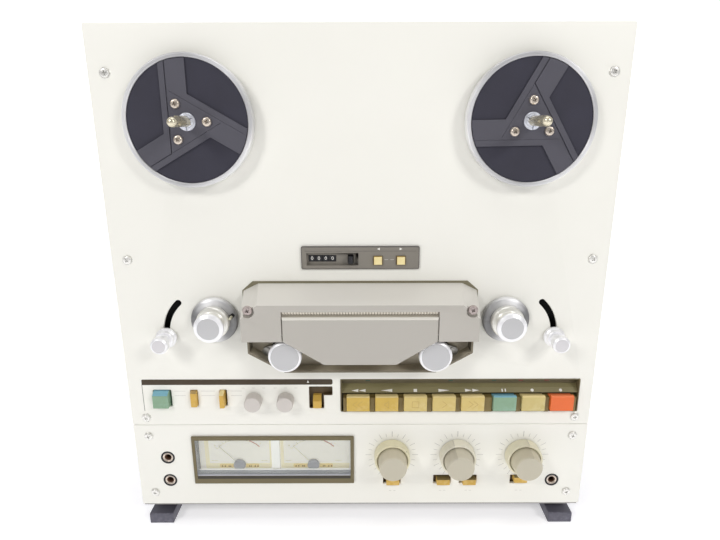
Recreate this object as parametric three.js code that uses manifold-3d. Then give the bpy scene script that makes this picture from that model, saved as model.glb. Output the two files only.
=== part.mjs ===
// Reel-to-reel tape deck, millimetres, +Z up, front towards -Y.
// Positions on the front are given as (x, z, h): x to the right, z above the
// lower edge of the front panels, h in front of the panel face (negative
// behind it). The frame's origin is the bottom centre of the bounding box.
import * as THREE from 'three';
import { mergeVertices } from 'three/addons/utils/BufferGeometryUtils.js';
import Module from 'manifold-3d';

const wasm = await Module();
wasm.setup();

// ---- driving dimensions -------------------------------------------------
const PANEL_W = 432;          // width of the front panels
const PANEL_H = 439.8;        // height of both panels together
const SEAM_Z = 87.9;          // joint between the two panels
const PANEL_T = 3;            // panel thickness
const FOOT_H = 23;            // feet below the panels
const SPINDLE_H = 50.5;       // spindle tip in front of the panel
const REAR_D = 205.5;         // rear end of the feet behind the panel face
const CASE_D = 200;           // rear edge of the case
const CASE_T = 1.6;           // case sheet
const FACE_Y = (SPINDLE_H - REAR_D) / 2;
const REEL_X = 136.7, REEL_Z = 365.3;
const REEL_R = 52, MAT_R = 48, REEL_FACE = 12, MAT_FLOOR = 10.8;
const ARM_TURN = { left: 0, right: -29 };   // the mat's arms, turned from straight up
const GUIDE_X = 129.5, GUIDE_Z = 195, FLANGE_R = 20.8;
const ARM_X = 135.5, ARM_Z = 181.1, ARM_R = 39.04;
const ARM_REST = 4.8, ARM_END = 47.7;   // degrees below / above the horizontal
const CAPSTAN_X = 65.8, CAPSTAN_Z = 190.2, CAPSTAN_R = 3, CAPSTAN_TIP = 23.4;
const PINCH_X = 64.9, PINCH_Z = 170, PINCH_PX = 84, PINCH_PZ = 166;
const HEAD_FRONT = 34;        // front face of the head housing
const TRAY_H = 15;            // depth of the tray below the heads
const KNOB_Z = 55, KNOB_X = [30.2, 92.9, 155.8];
const SMALL_KNOB_Z = 114.3, SMALL_KNOB_X = [-99.5, -69.7];
const KEY_X = [-12.9, 13.7, 40.3, 66.9, 93.5, 123.1, 149.7, 176.3];
const KEY_W = 21.5;
// low walls between the keys, from x to x
const DIVIDERS = [[-16, -13.3], [9, 13.3], [35.6, 39.9], [62.2, 66.5], [88.8, 93.1], [115.4, 122.7],
  [145, 149.3], [171.6, 175.9], [198.2, 201]];
const SWITCH_X = [30.5, 79.6, 104.9, 154.6];
const SWITCH_UP = [0, 0, 0, 2.4];   // how far each slide stands above its lower stop
const JACKS = [[-186.3, 52.3], [-186.3, 27], [187, 26.4]];
const METER_X = [-119, -46.3], METER_Z = 39.4;
const NEEDLE_REST = 43, NEEDLE_L = 29;   // degrees left of straight up, length
const GAP = 0.3;

// ---- helpers ------------------------------------------------------------
function volume(pos, idx) {
  let v = 0;
  for (let i = 0; i < idx.length; i += 3) {
    const a = idx[i] * 3, b = idx[i + 1] * 3, c = idx[i + 2] * 3;
    v += pos[a] * (pos[b + 1] * pos[c + 2] - pos[b + 2] * pos[c + 1])
       - pos[a + 1] * (pos[b] * pos[c + 2] - pos[b + 2] * pos[c])
       + pos[a + 2] * (pos[b] * pos[c + 1] - pos[b + 1] * pos[c]);
  }
  return v / 6;
}

function solid(geometry) {
  const g = geometry.clone();
  g.deleteAttribute('normal');
  g.deleteAttribute('uv');
  const m = mergeVertices(g, 1e-4);
  const pos = new Float32Array(m.attributes.position.array);
  const raw = m.index.array, tri = [];
  for (let i = 0; i < raw.length; i += 3) {
    if (raw[i] !== raw[i + 1] && raw[i + 1] !== raw[i + 2] && raw[i] !== raw[i + 2]) {
      tri.push(raw[i], raw[i + 1], raw[i + 2]);
    }
  }
  if (volume(pos, tri) < 0) {
    for (let i = 0; i < tri.length; i += 3) [tri[i], tri[i + 1]] = [tri[i + 1], tri[i]];
  }
  return new wasm.Manifold(new wasm.Mesh({
    numProp: 3, vertProperties: pos, triVerts: new Uint32Array(tri),
  }));
}

const union = (...list) => list.flat().reduce((a, b) => a.add(b));
const cut = (a, ...list) => list.flat().reduce((s, b) => s.subtract(b), a);

// box by panel coordinates
function box(x0, x1, z0, z1, h0, h1) {
  const g = new THREE.BoxGeometry(x1 - x0, h1 - h0, z1 - z0);
  g.translate((x0 + x1) / 2, FACE_Y - (h0 + h1) / 2, FOOT_H + (z0 + z1) / 2);
  return solid(g);
}

// polygon in (x, z), pushed out from h0 to h1
function prism(points, h0, h1) {
  const shape = new THREE.Shape(points.map(([x, z]) => new THREE.Vector2(x, z)));
  const g = new THREE.ExtrudeGeometry(shape, { depth: h1 - h0, bevelEnabled: false });
  g.rotateX(Math.PI / 2);
  g.translate(0, FACE_Y - h0, FOOT_H);
  return solid(g);
}

// polygon in (h, z), pushed out from x0 to x1
function sidePrism(points, x0, x1) {
  const shape = new THREE.Shape(points.map(([h, z]) => new THREE.Vector2(h, z)));
  const g = new THREE.ExtrudeGeometry(shape, { depth: x1 - x0, bevelEnabled: false });
  g.applyMatrix4(new THREE.Matrix4().set(
    0, 0, -1, x1,
    -1, 0, 0, FACE_Y,
    0, 1, 0, FOOT_H,
    0, 0, 0, 1));
  return solid(g);
}

// closed profile of (r, h), turned about the axis through (x, z)
function turned(x, z, profile, segments = 24, phase = 0) {
  const g = new THREE.LatheGeometry(profile.map(([r, h]) => new THREE.Vector2(r, h)), segments, phase);
  g.rotateX(Math.PI);
  g.translate(x, FACE_Y, FOOT_H + z);
  return solid(g);
}

const rod = (x, z, r, h0, h1, segments = 20) =>
  turned(x, z, [[0, h0], [r, h0], [r, h1], [0, h1]], segments);

function mirrorX(points) { return points.map(([x, z]) => [-x, z]).reverse(); }

// arc-shaped slot outline about (cx, cz), angles in degrees in the xz plane
function arcSlot(cx, cz, radius, half, a0, a1, steps = 10) {
  const out = [], rad = Math.PI / 180;
  for (let i = 0; i <= steps; i++) {
    const a = (a0 + (a1 - a0) * i / steps) * rad;
    out.push([cx + (radius + half) * Math.cos(a), cz + (radius + half) * Math.sin(a)]);
  }
  const cap = (angle, from) => {
    const px = cx + radius * Math.cos(angle * rad), pz = cz + radius * Math.sin(angle * rad);
    for (let i = 1; i < 6; i++) {
      const t = (from + 180 * i / 6 * Math.sign(a1 - a0)) * rad;
      out.push([px + half * Math.cos(t), pz + half * Math.sin(t)]);
    }
  };
  cap(a1, a1);
  for (let i = steps; i >= 0; i--) {
    const a = (a0 + (a1 - a0) * i / steps) * rad;
    out.push([cx + (radius - half) * Math.cos(a), cz + (radius - half) * Math.sin(a)]);
  }
  cap(a0, a0 + 180);
  return out;
}

// solid between two outlines with the same number of points, at h0 and h1
function loft(back, h0, front, h1) {
  const n = back.length, pos = [], idx = [];
  for (const [x, z] of back) pos.push(x, FACE_Y - h0, FOOT_H + z);
  for (const [x, z] of front) pos.push(x, FACE_Y - h1, FOOT_H + z);
  for (let i = 1; i < n - 1; i++) {
    idx.push(0, i, i + 1);
    idx.push(n, n + i + 1, n + i);
  }
  for (let i = 0; i < n; i++) {
    const j = (i + 1) % n;
    idx.push(i, n + i, n + j, i, n + j, j);
  }
  const g = new THREE.BufferGeometry();
  g.setAttribute('position', new THREE.Float32BufferAttribute(pos, 3));
  g.setIndex(idx);
  return solid(g);
}

const paint = (color, roughness, metalness) =>
  new THREE.MeshStandardMaterial({ color, roughness, metalness });
const M = {
  cream: paint(0xeeece4, 0.5, 0.1),
  case: paint(0x8f8b82, 0.55, 0.3),
  steel: paint(0x9a9c9e, 0.4, 0.8),
  alu: paint(0xc9cacc, 0.28, 0.9),
  cast: paint(0xb5b6b8, 0.35, 0.85),
  mat: paint(0x33323a, 0.7, 0.1),
  taupe: paint(0x7d7971, 0.55, 0.2),
  tray: paint(0x615b4c, 0.6, 0.1),
  housing: paint(0xc3c0b6, 0.45, 0.4),
  bay: paint(0x6a6250, 0.6, 0.1),
  foot: paint(0x4b4a54, 0.7, 0.0),
  ochre: paint(0xc9a95a, 0.5, 0.0),
  teal: paint(0x82a68f, 0.5, 0.0),
  orange: paint(0xdf6b35, 0.5, 0.0),
  cream2: paint(0xc9b878, 0.5, 0.0),
  knob: paint(0xcfc8b6, 0.5, 0.0),
  knobgrey: paint(0xb9b3ac, 0.5, 0.0),
  dark: paint(0x26252a, 0.6, 0.0),
  motor: paint(0x55565a, 0.5, 0.6),
  head: paint(0x8c8d90, 0.35, 0.8),
  needle: paint(0x3a3a3c, 0.6, 0.0),
};

const group = new THREE.Group();
group.name = 'tape_deck';
function piece(name, body, material) {
  const raw = body.getMesh();
  const g = new THREE.BufferGeometry();
  const p = [];
  for (let i = 0; i < raw.numVert; i++) {
    p.push(raw.vertProperties[i * raw.numProp], raw.vertProperties[i * raw.numProp + 1], raw.vertProperties[i * raw.numProp + 2]);
  }
  g.setAttribute('position', new THREE.Float32BufferAttribute(p, 3));
  g.setIndex(Array.from(raw.triVerts));
  g.computeVertexNormals();
  const mesh = new THREE.Mesh(g, material);
  mesh.name = name;
  group.add(mesh);
}
const sides = [['left', -1], ['right', 1]];
const flip = (points, s) => (s < 0 ? points : mirrorX(points));

// ---- case ---------------------------------------------------------------
{
  const X = PANEL_W / 2 - 1, Z0 = 1.5, Z1 = PANEL_H - 1.3;
  const outer = box(-X, X, Z0, Z1, -CASE_D, -PANEL_T - GAP);
  const inner = box(-X + CASE_T, X - CASE_T, Z0 + CASE_T, Z1 - CASE_T, -CASE_D - 1, -PANEL_T - GAP - 1.6);
  const mouth = box(-X + 7, X - 7, Z0 + 7, Z1 - 7, -20, 0);
  piece('cabinet_shell', cut(outer, inner, mouth), M.case);

  const slots = [];
  for (const side of [-1, 1]) {
    for (let i = 0; i < 6; i++) {
      const z = 330 + i * 14;
      slots.push(box(side * 110 - 45, side * 110 + 45, z, z + 4, -CASE_D - 4, -CASE_D + 2));
    }
  }
  let rear = cut(box(-X + 2, X - 2, Z0 + 2, Z1 - 2, -CASE_D - 2, -CASE_D - GAP), slots);
  const extra = [];
  for (const [x, z] of [[60, 64], [84, 64], [60, 40], [84, 40], [120, 64], [120, 40]]) {
    extra.push(rod(x, z, 4.2, -CASE_D - 5.2, -CASE_D - 1, 10));
  }
  extra.push(box(-172, -144, 34, 54, -CASE_D - 4.8, -CASE_D - 1));
  rear = cut(union(rear, extra), rod(-158, 44, 4.5, -CASE_D - 8, -CASE_D + 4, 16));
  piece('rear_cover', rear, M.dark);
}

for (const [side, s] of sides) {
  const foot = sidePrism([[0, -FOOT_H], [0, -12.8], [-0.8, -12], [-19, -12], [-30, 1.2],
    [-REAR_D, 1.2], [-REAR_D, -FOOT_H]], s < 0 ? -211 : 187.5, s < 0 ? -187.5 : 211);
  piece('foot_' + side, foot, M.foot);
}

// ---- front panels -------------------------------------------------------
const CUE = [[-47.8, 105.5], [-34.2, 105.5], [-34.2, 118.9], [-26.1, 118.9], [-26.1, 127.6], [-47.8, 127.6]];
const BAY = { x0: -18.6, x1: 204, z0: 101.6, z1: 135 };
{
  const T = -PANEL_T;
  const W = PANEL_W / 2;
  let panel = box(-W, W, SEAM_Z + 0.15, PANEL_H, T, 0);
  const holes = [];
  for (const [, s] of sides) {
    holes.push(rod(s * REEL_X, REEL_Z, 12, T - 1, 1, 20));
    holes.push(rod(s * GUIDE_X, GUIDE_Z, 7.6, T - 1, 1, 14));
    holes.push(rod(s * CAPSTAN_X, CAPSTAN_Z, 7, T - 1, 1, 14));
    holes.push(rod(s * PINCH_PX, PINCH_PZ, 3.3, T - 1, 1, 12));
    const slot = arcSlot(-ARM_X, ARM_Z, ARM_R, 2.8, 180 + ARM_REST + 0.7, 180 - ARM_END);
    holes.push(prism(flip(slot, s), T - 1, 1));
  }
  holes.push(box(-48.3, 49.3, 243.2, 259.8, T - 1, 1));
  holes.push(box(-193.4, -176.4, 107.4, 124.6, T - 1, 1));
  holes.push(box(-158.6, -151.8, 107.8, 124.5, T - 1, 1));
  holes.push(box(-131.3, -124.6, 107.8, 124.6, T - 1, 1));
  for (const x of SMALL_KNOB_X) holes.push(rod(x, SMALL_KNOB_Z, 3.4, T - 1, 1, 12));
  holes.push(prism(CUE, T - 1, 1));
  holes.push(box(BAY.x0, BAY.x1, BAY.z0, BAY.z1, T - 1, 1));
  piece('transport_panel', cut(panel, holes), M.cream);

  let amp = box(-W, W, 0, SEAM_Z - 0.15, T, 0);
  for (const [x, z] of JACKS) amp = amp.add(rod(x, z, 7.6, -20, -1, 16));
  const cuts = [];
  for (const [x, z] of JACKS) {
    cuts.push(rod(x, z, 6.6, -1.6, 1, 20));
    cuts.push(rod(x, z, 3.3, -21, 1, 12));
  }
  cuts.push(box(-160.8, -7.9, 25.6, 74, T - 1, 1));
  for (const x of KNOB_X) cuts.push(rod(x, KNOB_Z, 5, T - 1, 1, 16));
  for (const x of SWITCH_X) cuts.push(box(x - 8.5, x + 8.5, 22.6, 32, T - 1, 1));
  piece('amplifier_panel', cut(amp, cuts), M.cream);
}

// ---- chassis and motors ---------------------------------------------------
{
  const X = PANEL_W / 2 - 1 - CASE_T - GAP;
  const plate = box(-X, X, 141, PANEL_H - 1.3 - CASE_T - GAP, -12, -9.5);
  const add = [], holes = [];
  for (const [, s] of sides) {
    add.push(turned(s * GUIDE_X, GUIDE_Z, [[0, 0.4], [FLANGE_R, 0.4], [FLANGE_R, 4.6], [19, 6.4], [0, 6.4]], 28));
    add.push(rod(s * GUIDE_X, GUIDE_Z, 7, -10, 1, 12));
    add.push(rod(s * GUIDE_X, GUIDE_Z, 2.5, 6, 22, 12));
    add.push(rod(s * CAPSTAN_X, CAPSTAN_Z, 6.5, -15.5, 8, 14));
    holes.push(rod(s * CAPSTAN_X, CAPSTAN_Z, CAPSTAN_R + 0.3, -18, 10, 12));
    holes.push(rod(s * REEL_X, REEL_Z, 9.2, -14, -8, 16));
    holes.push(rod(s * PINCH_PX, PINCH_PZ, 3.2, -14, -8, 12));
    holes.push(rod(s * ARM_X, ARM_Z, 3.2, -14, -8, 12));
  }
  holes.push(box(-52, 52, 241.5, 261.5, -14, -8));
  piece('chassis_plate', cut(union(plate, add), holes), M.cast);

  for (const [side, s] of sides) {
    const motor = turned(s * REEL_X, REEL_Z, [[4.4, -4.2], [8.6, -4.2], [8.6, -12.3], [42, -12.3], [42, -60],
      [39, -63], [4.4, -63], [4.4, -4.2]], 24);
    piece('reel_motor_' + side, motor, M.motor);
  }
  const drum = turned(0, 166, [[0, -20], [7, -20], [7, -28], [3, -28], [3, -35], [22, -35], [22, -76], [0, -76]], 20);
  const legs = [[-17, 146], [17, 146], [-17, 186], [17, 186]].map(([x, z]) => rod(x, z, 3, -34, -12.3, 8));
  piece('capstan_motor', union(drum, box(-21, 21, 142.5, 189.5, -36, -33), legs), M.motor);
}

// ---- reel tables ----------------------------------------------------------
{
  const deg = Math.PI / 180;
  for (const [side, s] of sides) {
    const cx = s * REEL_X, cz = REEL_Z;
    const disc = turned(cx, cz, [[0, -3.2], [11, -3.2], [11, 1], [50.6, 1], [REEL_R, 2.4], [REEL_R, 11.2],
      [51.2, REEL_FACE], [MAT_R, REEL_FACE], [MAT_R, MAT_FLOOR], [0, MAT_FLOOR]], 36);
    const hub = turned(cx, cz, [[0, MAT_FLOOR - 1], [7, MAT_FLOOR - 1], [7, 13.8], [4.4, 15], [0, 15]], 18);
    const spindle = turned(cx, cz, [[0, 10], [3.75, 10], [3.75, 47.4], [2.6, 49.6], [0, SPINDLE_H]], 12);
    const shaft = rod(cx, cz, 4, -30, -2, 12);
    // three raised arms on the mat, each to the left of a line through the centre
    const clip = rod(cx, cz, MAT_R + 0.5, MAT_FLOOR - 0.4, REEL_FACE, 36);
    const arms = [0, 120, 240].map((d) => {
      const a = (ARM_TURN[side] + d) * deg, c = Math.cos(a), n = Math.sin(a);
      return prism([[-19.1, -10], [1.6, -10], [1.6, 60], [-19.1, 60]].map(([x, z]) =>
        [cx + x * c - z * n, cz + x * n + z * c]), MAT_FLOOR - 0.4, REEL_FACE);
    });
    const wings = [0, 120, 240].map((d) => {
      const a = (ARM_TURN[side] + d) * deg, c = Math.cos(a), n = Math.sin(a);
      return prism([[0, -0.7], [4.7, -0.7], [4.7, 0.7], [0, 0.7]].map(([x, z]) =>
        [cx + x * c - z * n, cz + x * n + z * c]), 14, 46);
    });
    piece('reel_table_' + side, union(disc, union(arms).intersect(clip), hub, spindle, shaft, wings), M.alu);
  }
}

// ---- tape path ------------------------------------------------------------
for (const [side, s] of sides) {
  const rest = ARM_REST * Math.PI / 180;
  const px = s * (ARM_X + ARM_R * Math.cos(rest)), pz = ARM_Z - ARM_R * Math.sin(rest);
  const ax = s * ARM_X, dx = px - ax, dz = pz - ARM_Z, len = Math.hypot(dx, dz);
  const nx = -dz / len, nz = dx / len;
  const strap = [[ax + nx * 4.2, ARM_Z + nz * 4.2], [px + nx * 3.4, pz + nz * 3.4],
    [px - nx * 3.4, pz - nz * 3.4], [ax - nx * 4.2, ARM_Z - nz * 4.2]];
  const ordered = s < 0 ? strap : strap.slice().reverse();
  piece('tension_arm_' + side, union(
    prism(ordered, -6.5, -4.5),
    rod(ax, ARM_Z, 4.4, -7.5, -3.6, 12),
    rod(ax, ARM_Z, 3, -13.5, -7, 12),
    rod(px, pz, 3.4, -6.5, -4.5, 10),
    rod(px, pz, 2, -5, 1, 10),
    turned(px, pz, [[0, 0.8], [8.5, 0.8], [9.3, 1.6], [9.3, 4], [7.8, 5.4], [7.4, 8], [0, 8]], 20),
    rod(px, pz, 1.6, 7, 19.8, 10)), M.alu);
  piece('tension_roller_' + side, turned(px, pz, [[1.9, 8.3], [5.6, 8.3], [5.6, 16.4], [7.7, 16.9],
    [7.7, 21.4], [5.8, 23.3], [0, 23.3], [0, 20.2], [1.9, 20.2], [1.9, 8.3]], 20), M.alu);
  piece('guide_roller_' + side, turned(s * GUIDE_X, GUIDE_Z, [[2.8, 6.8], [14.5, 6.8], [14.5, 12],
    [10.5, 12.5], [10.5, 22], [13, 22.4], [13, 24.2], [9.7, 26.2], [0, 26.2], [0, 22.4], [2.8, 22.4],
    [2.8, 6.8]], 24), M.alu);

  // pinch arm and roller
  const qx = s * PINCH_PX, rx = s * PINCH_X;
  const ex = rx - qx, ez = PINCH_Z - PINCH_PZ, el = Math.hypot(ex, ez), mx = -ez / el, mz = ex / el;
  const lever = [[qx + mx * 4, PINCH_PZ + mz * 4], [rx + mx * 4.5, PINCH_Z + mz * 4.5],
    [rx - mx * 4.5, PINCH_Z - mz * 4.5], [qx - mx * 4, PINCH_PZ - mz * 4]];
  piece('pinch_arm_' + side, union(
    prism(s < 0 ? lever.slice().reverse() : lever, 2.7, 5.7),
    rod(qx, PINCH_PZ, 4, 2.7, 6.4, 14),
    rod(qx, PINCH_PZ, 3, -13, 3, 12),
    rod(rx, PINCH_Z, 4.5, 2.7, 6.2, 16),
    rod(rx, PINCH_Z, 2.5, 5, 22, 12)), M.steel);
  piece('pinch_roller_' + side, turned(rx, PINCH_Z, [[2.8, 6.6], [10, 6.6], [10, 9], [13.8, 9], [13.8, 24], [14.4, 24.4],
    [14.4, 27.4], [12.3, 29], [0, 29], [0, 22.4], [2.8, 22.4], [2.8, 6.6]], 28), M.alu);

  piece('capstan_' + side, turned(s * CAPSTAN_X, CAPSTAN_Z, [[0, -38], [5, -38], [5, -34], [39, -34], [39, -19],
    [37, -18], [CAPSTAN_R, -18], [CAPSTAN_R, CAPSTAN_TIP], [0, CAPSTAN_TIP]], 24), M.steel);
}

// ---- head assembly ----------------------------------------------------------
const TRAY = [[-99.4, 186.3], [-99.4, 167.6], [-67.2, 149], [67.2, 149], [99.4, 167.6], [99.4, 186.3]];
const TRAY_IN = [[-97.4, 190], [-97.4, 168.8], [-66.7, 151], [66.7, 151], [97.4, 168.8], [97.4, 190]];
{
  let tray = cut(prism(TRAY, 0.3, TRAY_H), prism(TRAY_IN, 2.3, TRAY_H + 1));
  for (const s of [-1, 1]) {
    tray = tray.subtract(rod(s * PINCH_PX, PINCH_PZ, 3.2, -1, 4, 12));
    tray = tray.subtract(rod(s * CAPSTAN_X, CAPSTAN_Z, 7, -1, 4, 14));
  }
  piece('head_tray', tray, M.tray);

  const back = [[-103.2, 186.7], [103.2, 186.7], [102.8, 221.6], [89.5, 228.2], [-89.5, 228.2], [-102.8, 221.6]];
  const front = [[-99.8, 186.7], [99.8, 186.7], [99.8, 207], [85.6, 219], [-85.6, 219], [-99.8, 207]];
  const backIn = [[-100.8, 180], [100.8, 180], [100.4, 220.4], [88.8, 226.2], [-88.8, 226.2], [-100.4, 220.4]];
  const frontIn = [[-97.4, 180], [97.4, 180], [97.4, 206], [84.8, 216.6], [-84.8, 216.6], [-97.4, 206]];
  let shell = cut(loft(back, 0.4, front, HEAD_FRONT), loft(backIn, -1, frontIn, HEAD_FRONT - 2.5));
  shell = shell.subtract(box(-66, 66, 180, 213.2, HEAD_FRONT - 4, HEAD_FRONT + 1));
  shell = union(shell,
    box(-68.4, 68.4, 205.2, 216.4, 24.5, 27),
    box(-68.4, 68.4, 213.2, 217.2, 25, HEAD_FRONT - 1),
    box(-68.4, -66, 192, 214, 27, HEAD_FRONT - 1), box(66, 68.4, 192, 214, 27, HEAD_FRONT - 1),
    rod(-93.8, 214, 6.9, 24, 31, 18).intersect(loft(back, 0.4, front, HEAD_FRONT)),
    rod(93.8, 214, 6.9, 24, 31, 18).intersect(loft(back, 0.4, front, HEAD_FRONT)));
  for (const s of [-1, 1]) {
    shell = shell.subtract(rod(s * 93.8, 214, 5.9, 31, 40, 18));
    const pin = new THREE.CylinderGeometry(1.5, 1.5, 6, 10);
    pin.rotateZ(Math.PI / 2);
    pin.translate(s * 66.5, FACE_Y - 30.6, FOOT_H + 205.6);
    shell = shell.subtract(solid(pin));
  }
  piece('head_housing', shell, M.housing);

  const flap = [[-65.6, 208.2], [-65.6, 186.6], [-30.8, 165.2], [30.8, 165.2], [65.6, 186.6], [65.6, 208.2]];
  const flapFront = [[-64.6, 207], [-64.6, 187.2], [-30.4, 166.2], [30.4, 166.2], [64.6, 187.2], [64.6, 207]];
  const hinge = new THREE.CylinderGeometry(1.2, 1.2, 134.4, 10);
  hinge.rotateZ(Math.PI / 2);
  hinge.translate(0, FACE_Y - 30.6, FOOT_H + 205.6);
  piece('head_cover', union(prism(flap, 31, 33.2), loft(flap, 33, flapFront, HEAD_FRONT + 0.4), solid(hinge)), M.housing);

  const heads = [];
  for (const x of [-42, -14, 14, 42]) {
    heads.push(box(x - 8, x + 8, 188.4, 203, 5, 10));
    heads.push(prism([[x - 7, 190], [x - 2.5, 187.6], [x + 2.5, 187.6], [x + 7, 190], [x + 7, 202], [x - 7, 202]], 9, 24));
  }
  piece('head_block', union(box(-56, 56, 187.4, 222, 0.6, 4), box(-56, 56, 188.4, 204, 3, 6), heads), M.head);
}

// ---- counter panel ----------------------------------------------------------
{
  const plate = prism([[-50, 241.3], [50.4, 241.3], [51.4, 242.3], [51.4, 260.5], [50.4, 261.5], [-50, 261.5], [-51, 260.5],
    [-51, 242.3]], 0.3, 1.8);
  const tub = box(-48, 49, 243.5, 259.5, -8.5, 1);
  const cuts = [box(-46.3, -1.5, 244.6, 255.6, -2.2, 3), box(-45, -20.8, 247.1, 253, -6, 0),
    box(-10.6, -5.8, 245.7, 253.5, -10, 0), box(11.6, 19.4, 245.1, 253.1, -10, 3),
    box(31.5, 39.3, 245.1, 253.1, -10, 3)];
  piece('counter_bezel', cut(union(plate, tub), cuts), M.taupe);
  piece('counter_reset', union(box(-10.3, -6.1, 246, 253.2, -6, 4), box(-9.8, -6.6, 247, 252, -9, -5)), M.dark);
  piece('timer_button_left', box(11.95, 19.05, 245.5, 252.7, -7, 4), M.cream2);
  piece('timer_button_right', box(31.85, 38.95, 245.5, 252.7, -7, 4), M.cream2);
}

// ---- control strip ------------------------------------------------------------
{
  const button = (x0, x1, z0, z1, front, facet) => sidePrism([[-9, z0], [front, z0], [front, facet],
    [front * 0.2, z1], [-9, z1]], x0, x1);
  piece('power_button', button(-192.6, -178.2, 108.2, 124, 5.5, 121), M.teal);
  piece('reel_switch', button(-157.9, -152.2, 108.5, 123.9, 3.8, 122.2), M.ochre);
  piece('speed_switch', button(-130.6, -126.3, 108.5, 124, 6, 121.4), M.ochre);
  const names = ['auto_reverse_knob', 'pitch_knob'];
  SMALL_KNOB_X.forEach((x, i) => {
    piece(names[i], turned(x, SMALL_KNOB_Z, [[0, -9], [3, -9], [3, 0.6], [7.9, 0.6], [7.9, 10.2], [7.2, 10.9], [0, 10.9]], 24), M.knobgrey);
  });
  piece('cue_lever', union(
    sidePrism([[-5, 107.2], [4, 107.2], [4, 115], [-1, 118.8], [-5, 118.8]], -44.3, -36.3),
    box(-49.5, -24.8, 98, 126, -6, -4)), M.ochre);
}

// ---- key bay --------------------------------------------------------------------
{
  const { x0, x1, z0, z1 } = BAY;
  let bay = box(x0 - 2, x1 + 2, z0 - 2, z1 + 2, -10, -PANEL_T - GAP);
  bay = bay.subtract(box(x0, x1, z0, z1, -8, 1));
  bay = bay.add(sidePrism([[-8.5, 120.5], [-3.6, 120.5], [-3.6, 123.1], [-8, 127], [-8.5, 127]], x0 - 0.5, x1 + 0.5));
  bay = bay.add(sidePrism([[-4.2, 120.5], [-1, 120.5], [-4.2, 123.7]], x0 + 0.3, x1 - 0.3));
  for (const [a, b] of DIVIDERS) {
    bay = bay.add(sidePrism([[-8.5, 101.4], [-3.6, 101.4], [-3.6, 102], [3, 102], [3, 117.6], [-8.5, 117.6]], a, b));
  }
  for (const x of KEY_X) bay = bay.subtract(rod(x + KEY_W / 2, 112, 2.4, -12, -6, 12));
  piece('control_bay', bay, M.bay);
  const names = ['key_rewind', 'key_play_reverse', 'key_stop', 'key_play', 'key_fast_forward', 'key_pause',
    'key_rec_mute', 'key_record'];
  const mats = [M.ochre, M.ochre, M.ochre, M.ochre, M.ochre, M.teal, M.cream2, M.orange];
  KEY_X.forEach((x, i) => {
    piece(names[i], union(
      sidePrism([[-5.4, 105], [6, 105], [6, 119.2], [4.8, 120.1], [2, 120.1], [2, 117.6], [-5.4, 117.6]], x, x + KEY_W),
      rod(x + KEY_W / 2, 112, 2.1, -13, -5, 12)), mats[i]);
  });
}

// ---- meters ---------------------------------------------------------------------
{
  const plate = box(-161.7, -6.4, 24.2, 75.9, 0.3, 1.8);
  const tub = box(-160.4, -8.3, 26, 73.6, -14, 1);
  let bezel = cut(union(plate, tub), box(-158.6, -9.6, 32.6, 71.8, -8.5, 3));
  bezel = union(bezel, box(-87, -79.2, 31, 72.2, -9, -6.6),
    sidePrism([[1.2, 32], [1.2, 32.9], [-4.3, 35.2], [-5.2, 35.2], [-5.2, 32]], -159, -9.2));
  bezel = bezel.subtract(sidePrism([[0.9, 32.7], [2.2, 32.7], [2.2, 26.4], [1.8, 26.4]], -158, -10));
  for (const x of METER_X) bezel = bezel.subtract(rod(x, METER_Z, 2.3, -12, -8, 12));
  piece('meter_bezel', bezel, M.bay);
  METER_X.forEach((x, i) => {
    const a = NEEDLE_REST * Math.PI / 180, c = Math.cos(a), n = Math.sin(a);
    const bar = [[-0.45, 0], [0.45, 0], [0.35, NEEDLE_L], [-0.35, NEEDLE_L]].map(([u, v]) =>
      [x + u * c - v * n, METER_Z + u * n + v * c]);
    piece(i ? 'needle_right' : 'needle_left', union(
      rod(x, METER_Z, 5.9, -8.2, -5.6, 20), rod(x, METER_Z, 2, -11.5, -8, 12), prism(bar, -7, -6.2)), M.needle);
  });
}

// ---- level controls ---------------------------------------------------------------
{
  const names = ['mic', 'line', 'output'];
  KNOB_X.forEach((x, i) => {
    piece(names[i] + '_knob_outer', turned(x, KNOB_Z, [[3.1, -9], [4.7, -9], [4.7, 0.6], [17, 0.6], [17, 10],
      [16.2, 11], [14.7, 11], [14.7, 8], [3.1, 8], [3.1, -9]], 28), M.knob);
    piece(names[i] + '_knob_inner', turned(x, KNOB_Z, [[0, -13], [2.8, -13], [2.8, 8.3], [13.6, 8.3], [13.6, 11.5],
      [12.7, 23.2], [11.7, 24.2], [0, 24.2]], 28), M.knob);
  });
  const switches = ['mic_att_switch', 'line_switch_left', 'line_switch_right', 'monitor_switch'];
  SWITCH_X.forEach((x, i) => {
    piece(switches[i], union(
      box(x - 5.6, x + 7.3, 23.2 + SWITCH_UP[i], 29.3 + SWITCH_UP[i], -5, 4.2),
      box(x - 10.5, x + 10.5, 19.8 + SWITCH_UP[i], 35 + SWITCH_UP[i], -6, -3.8)), M.ochre);
  });
}

export default group;
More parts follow.
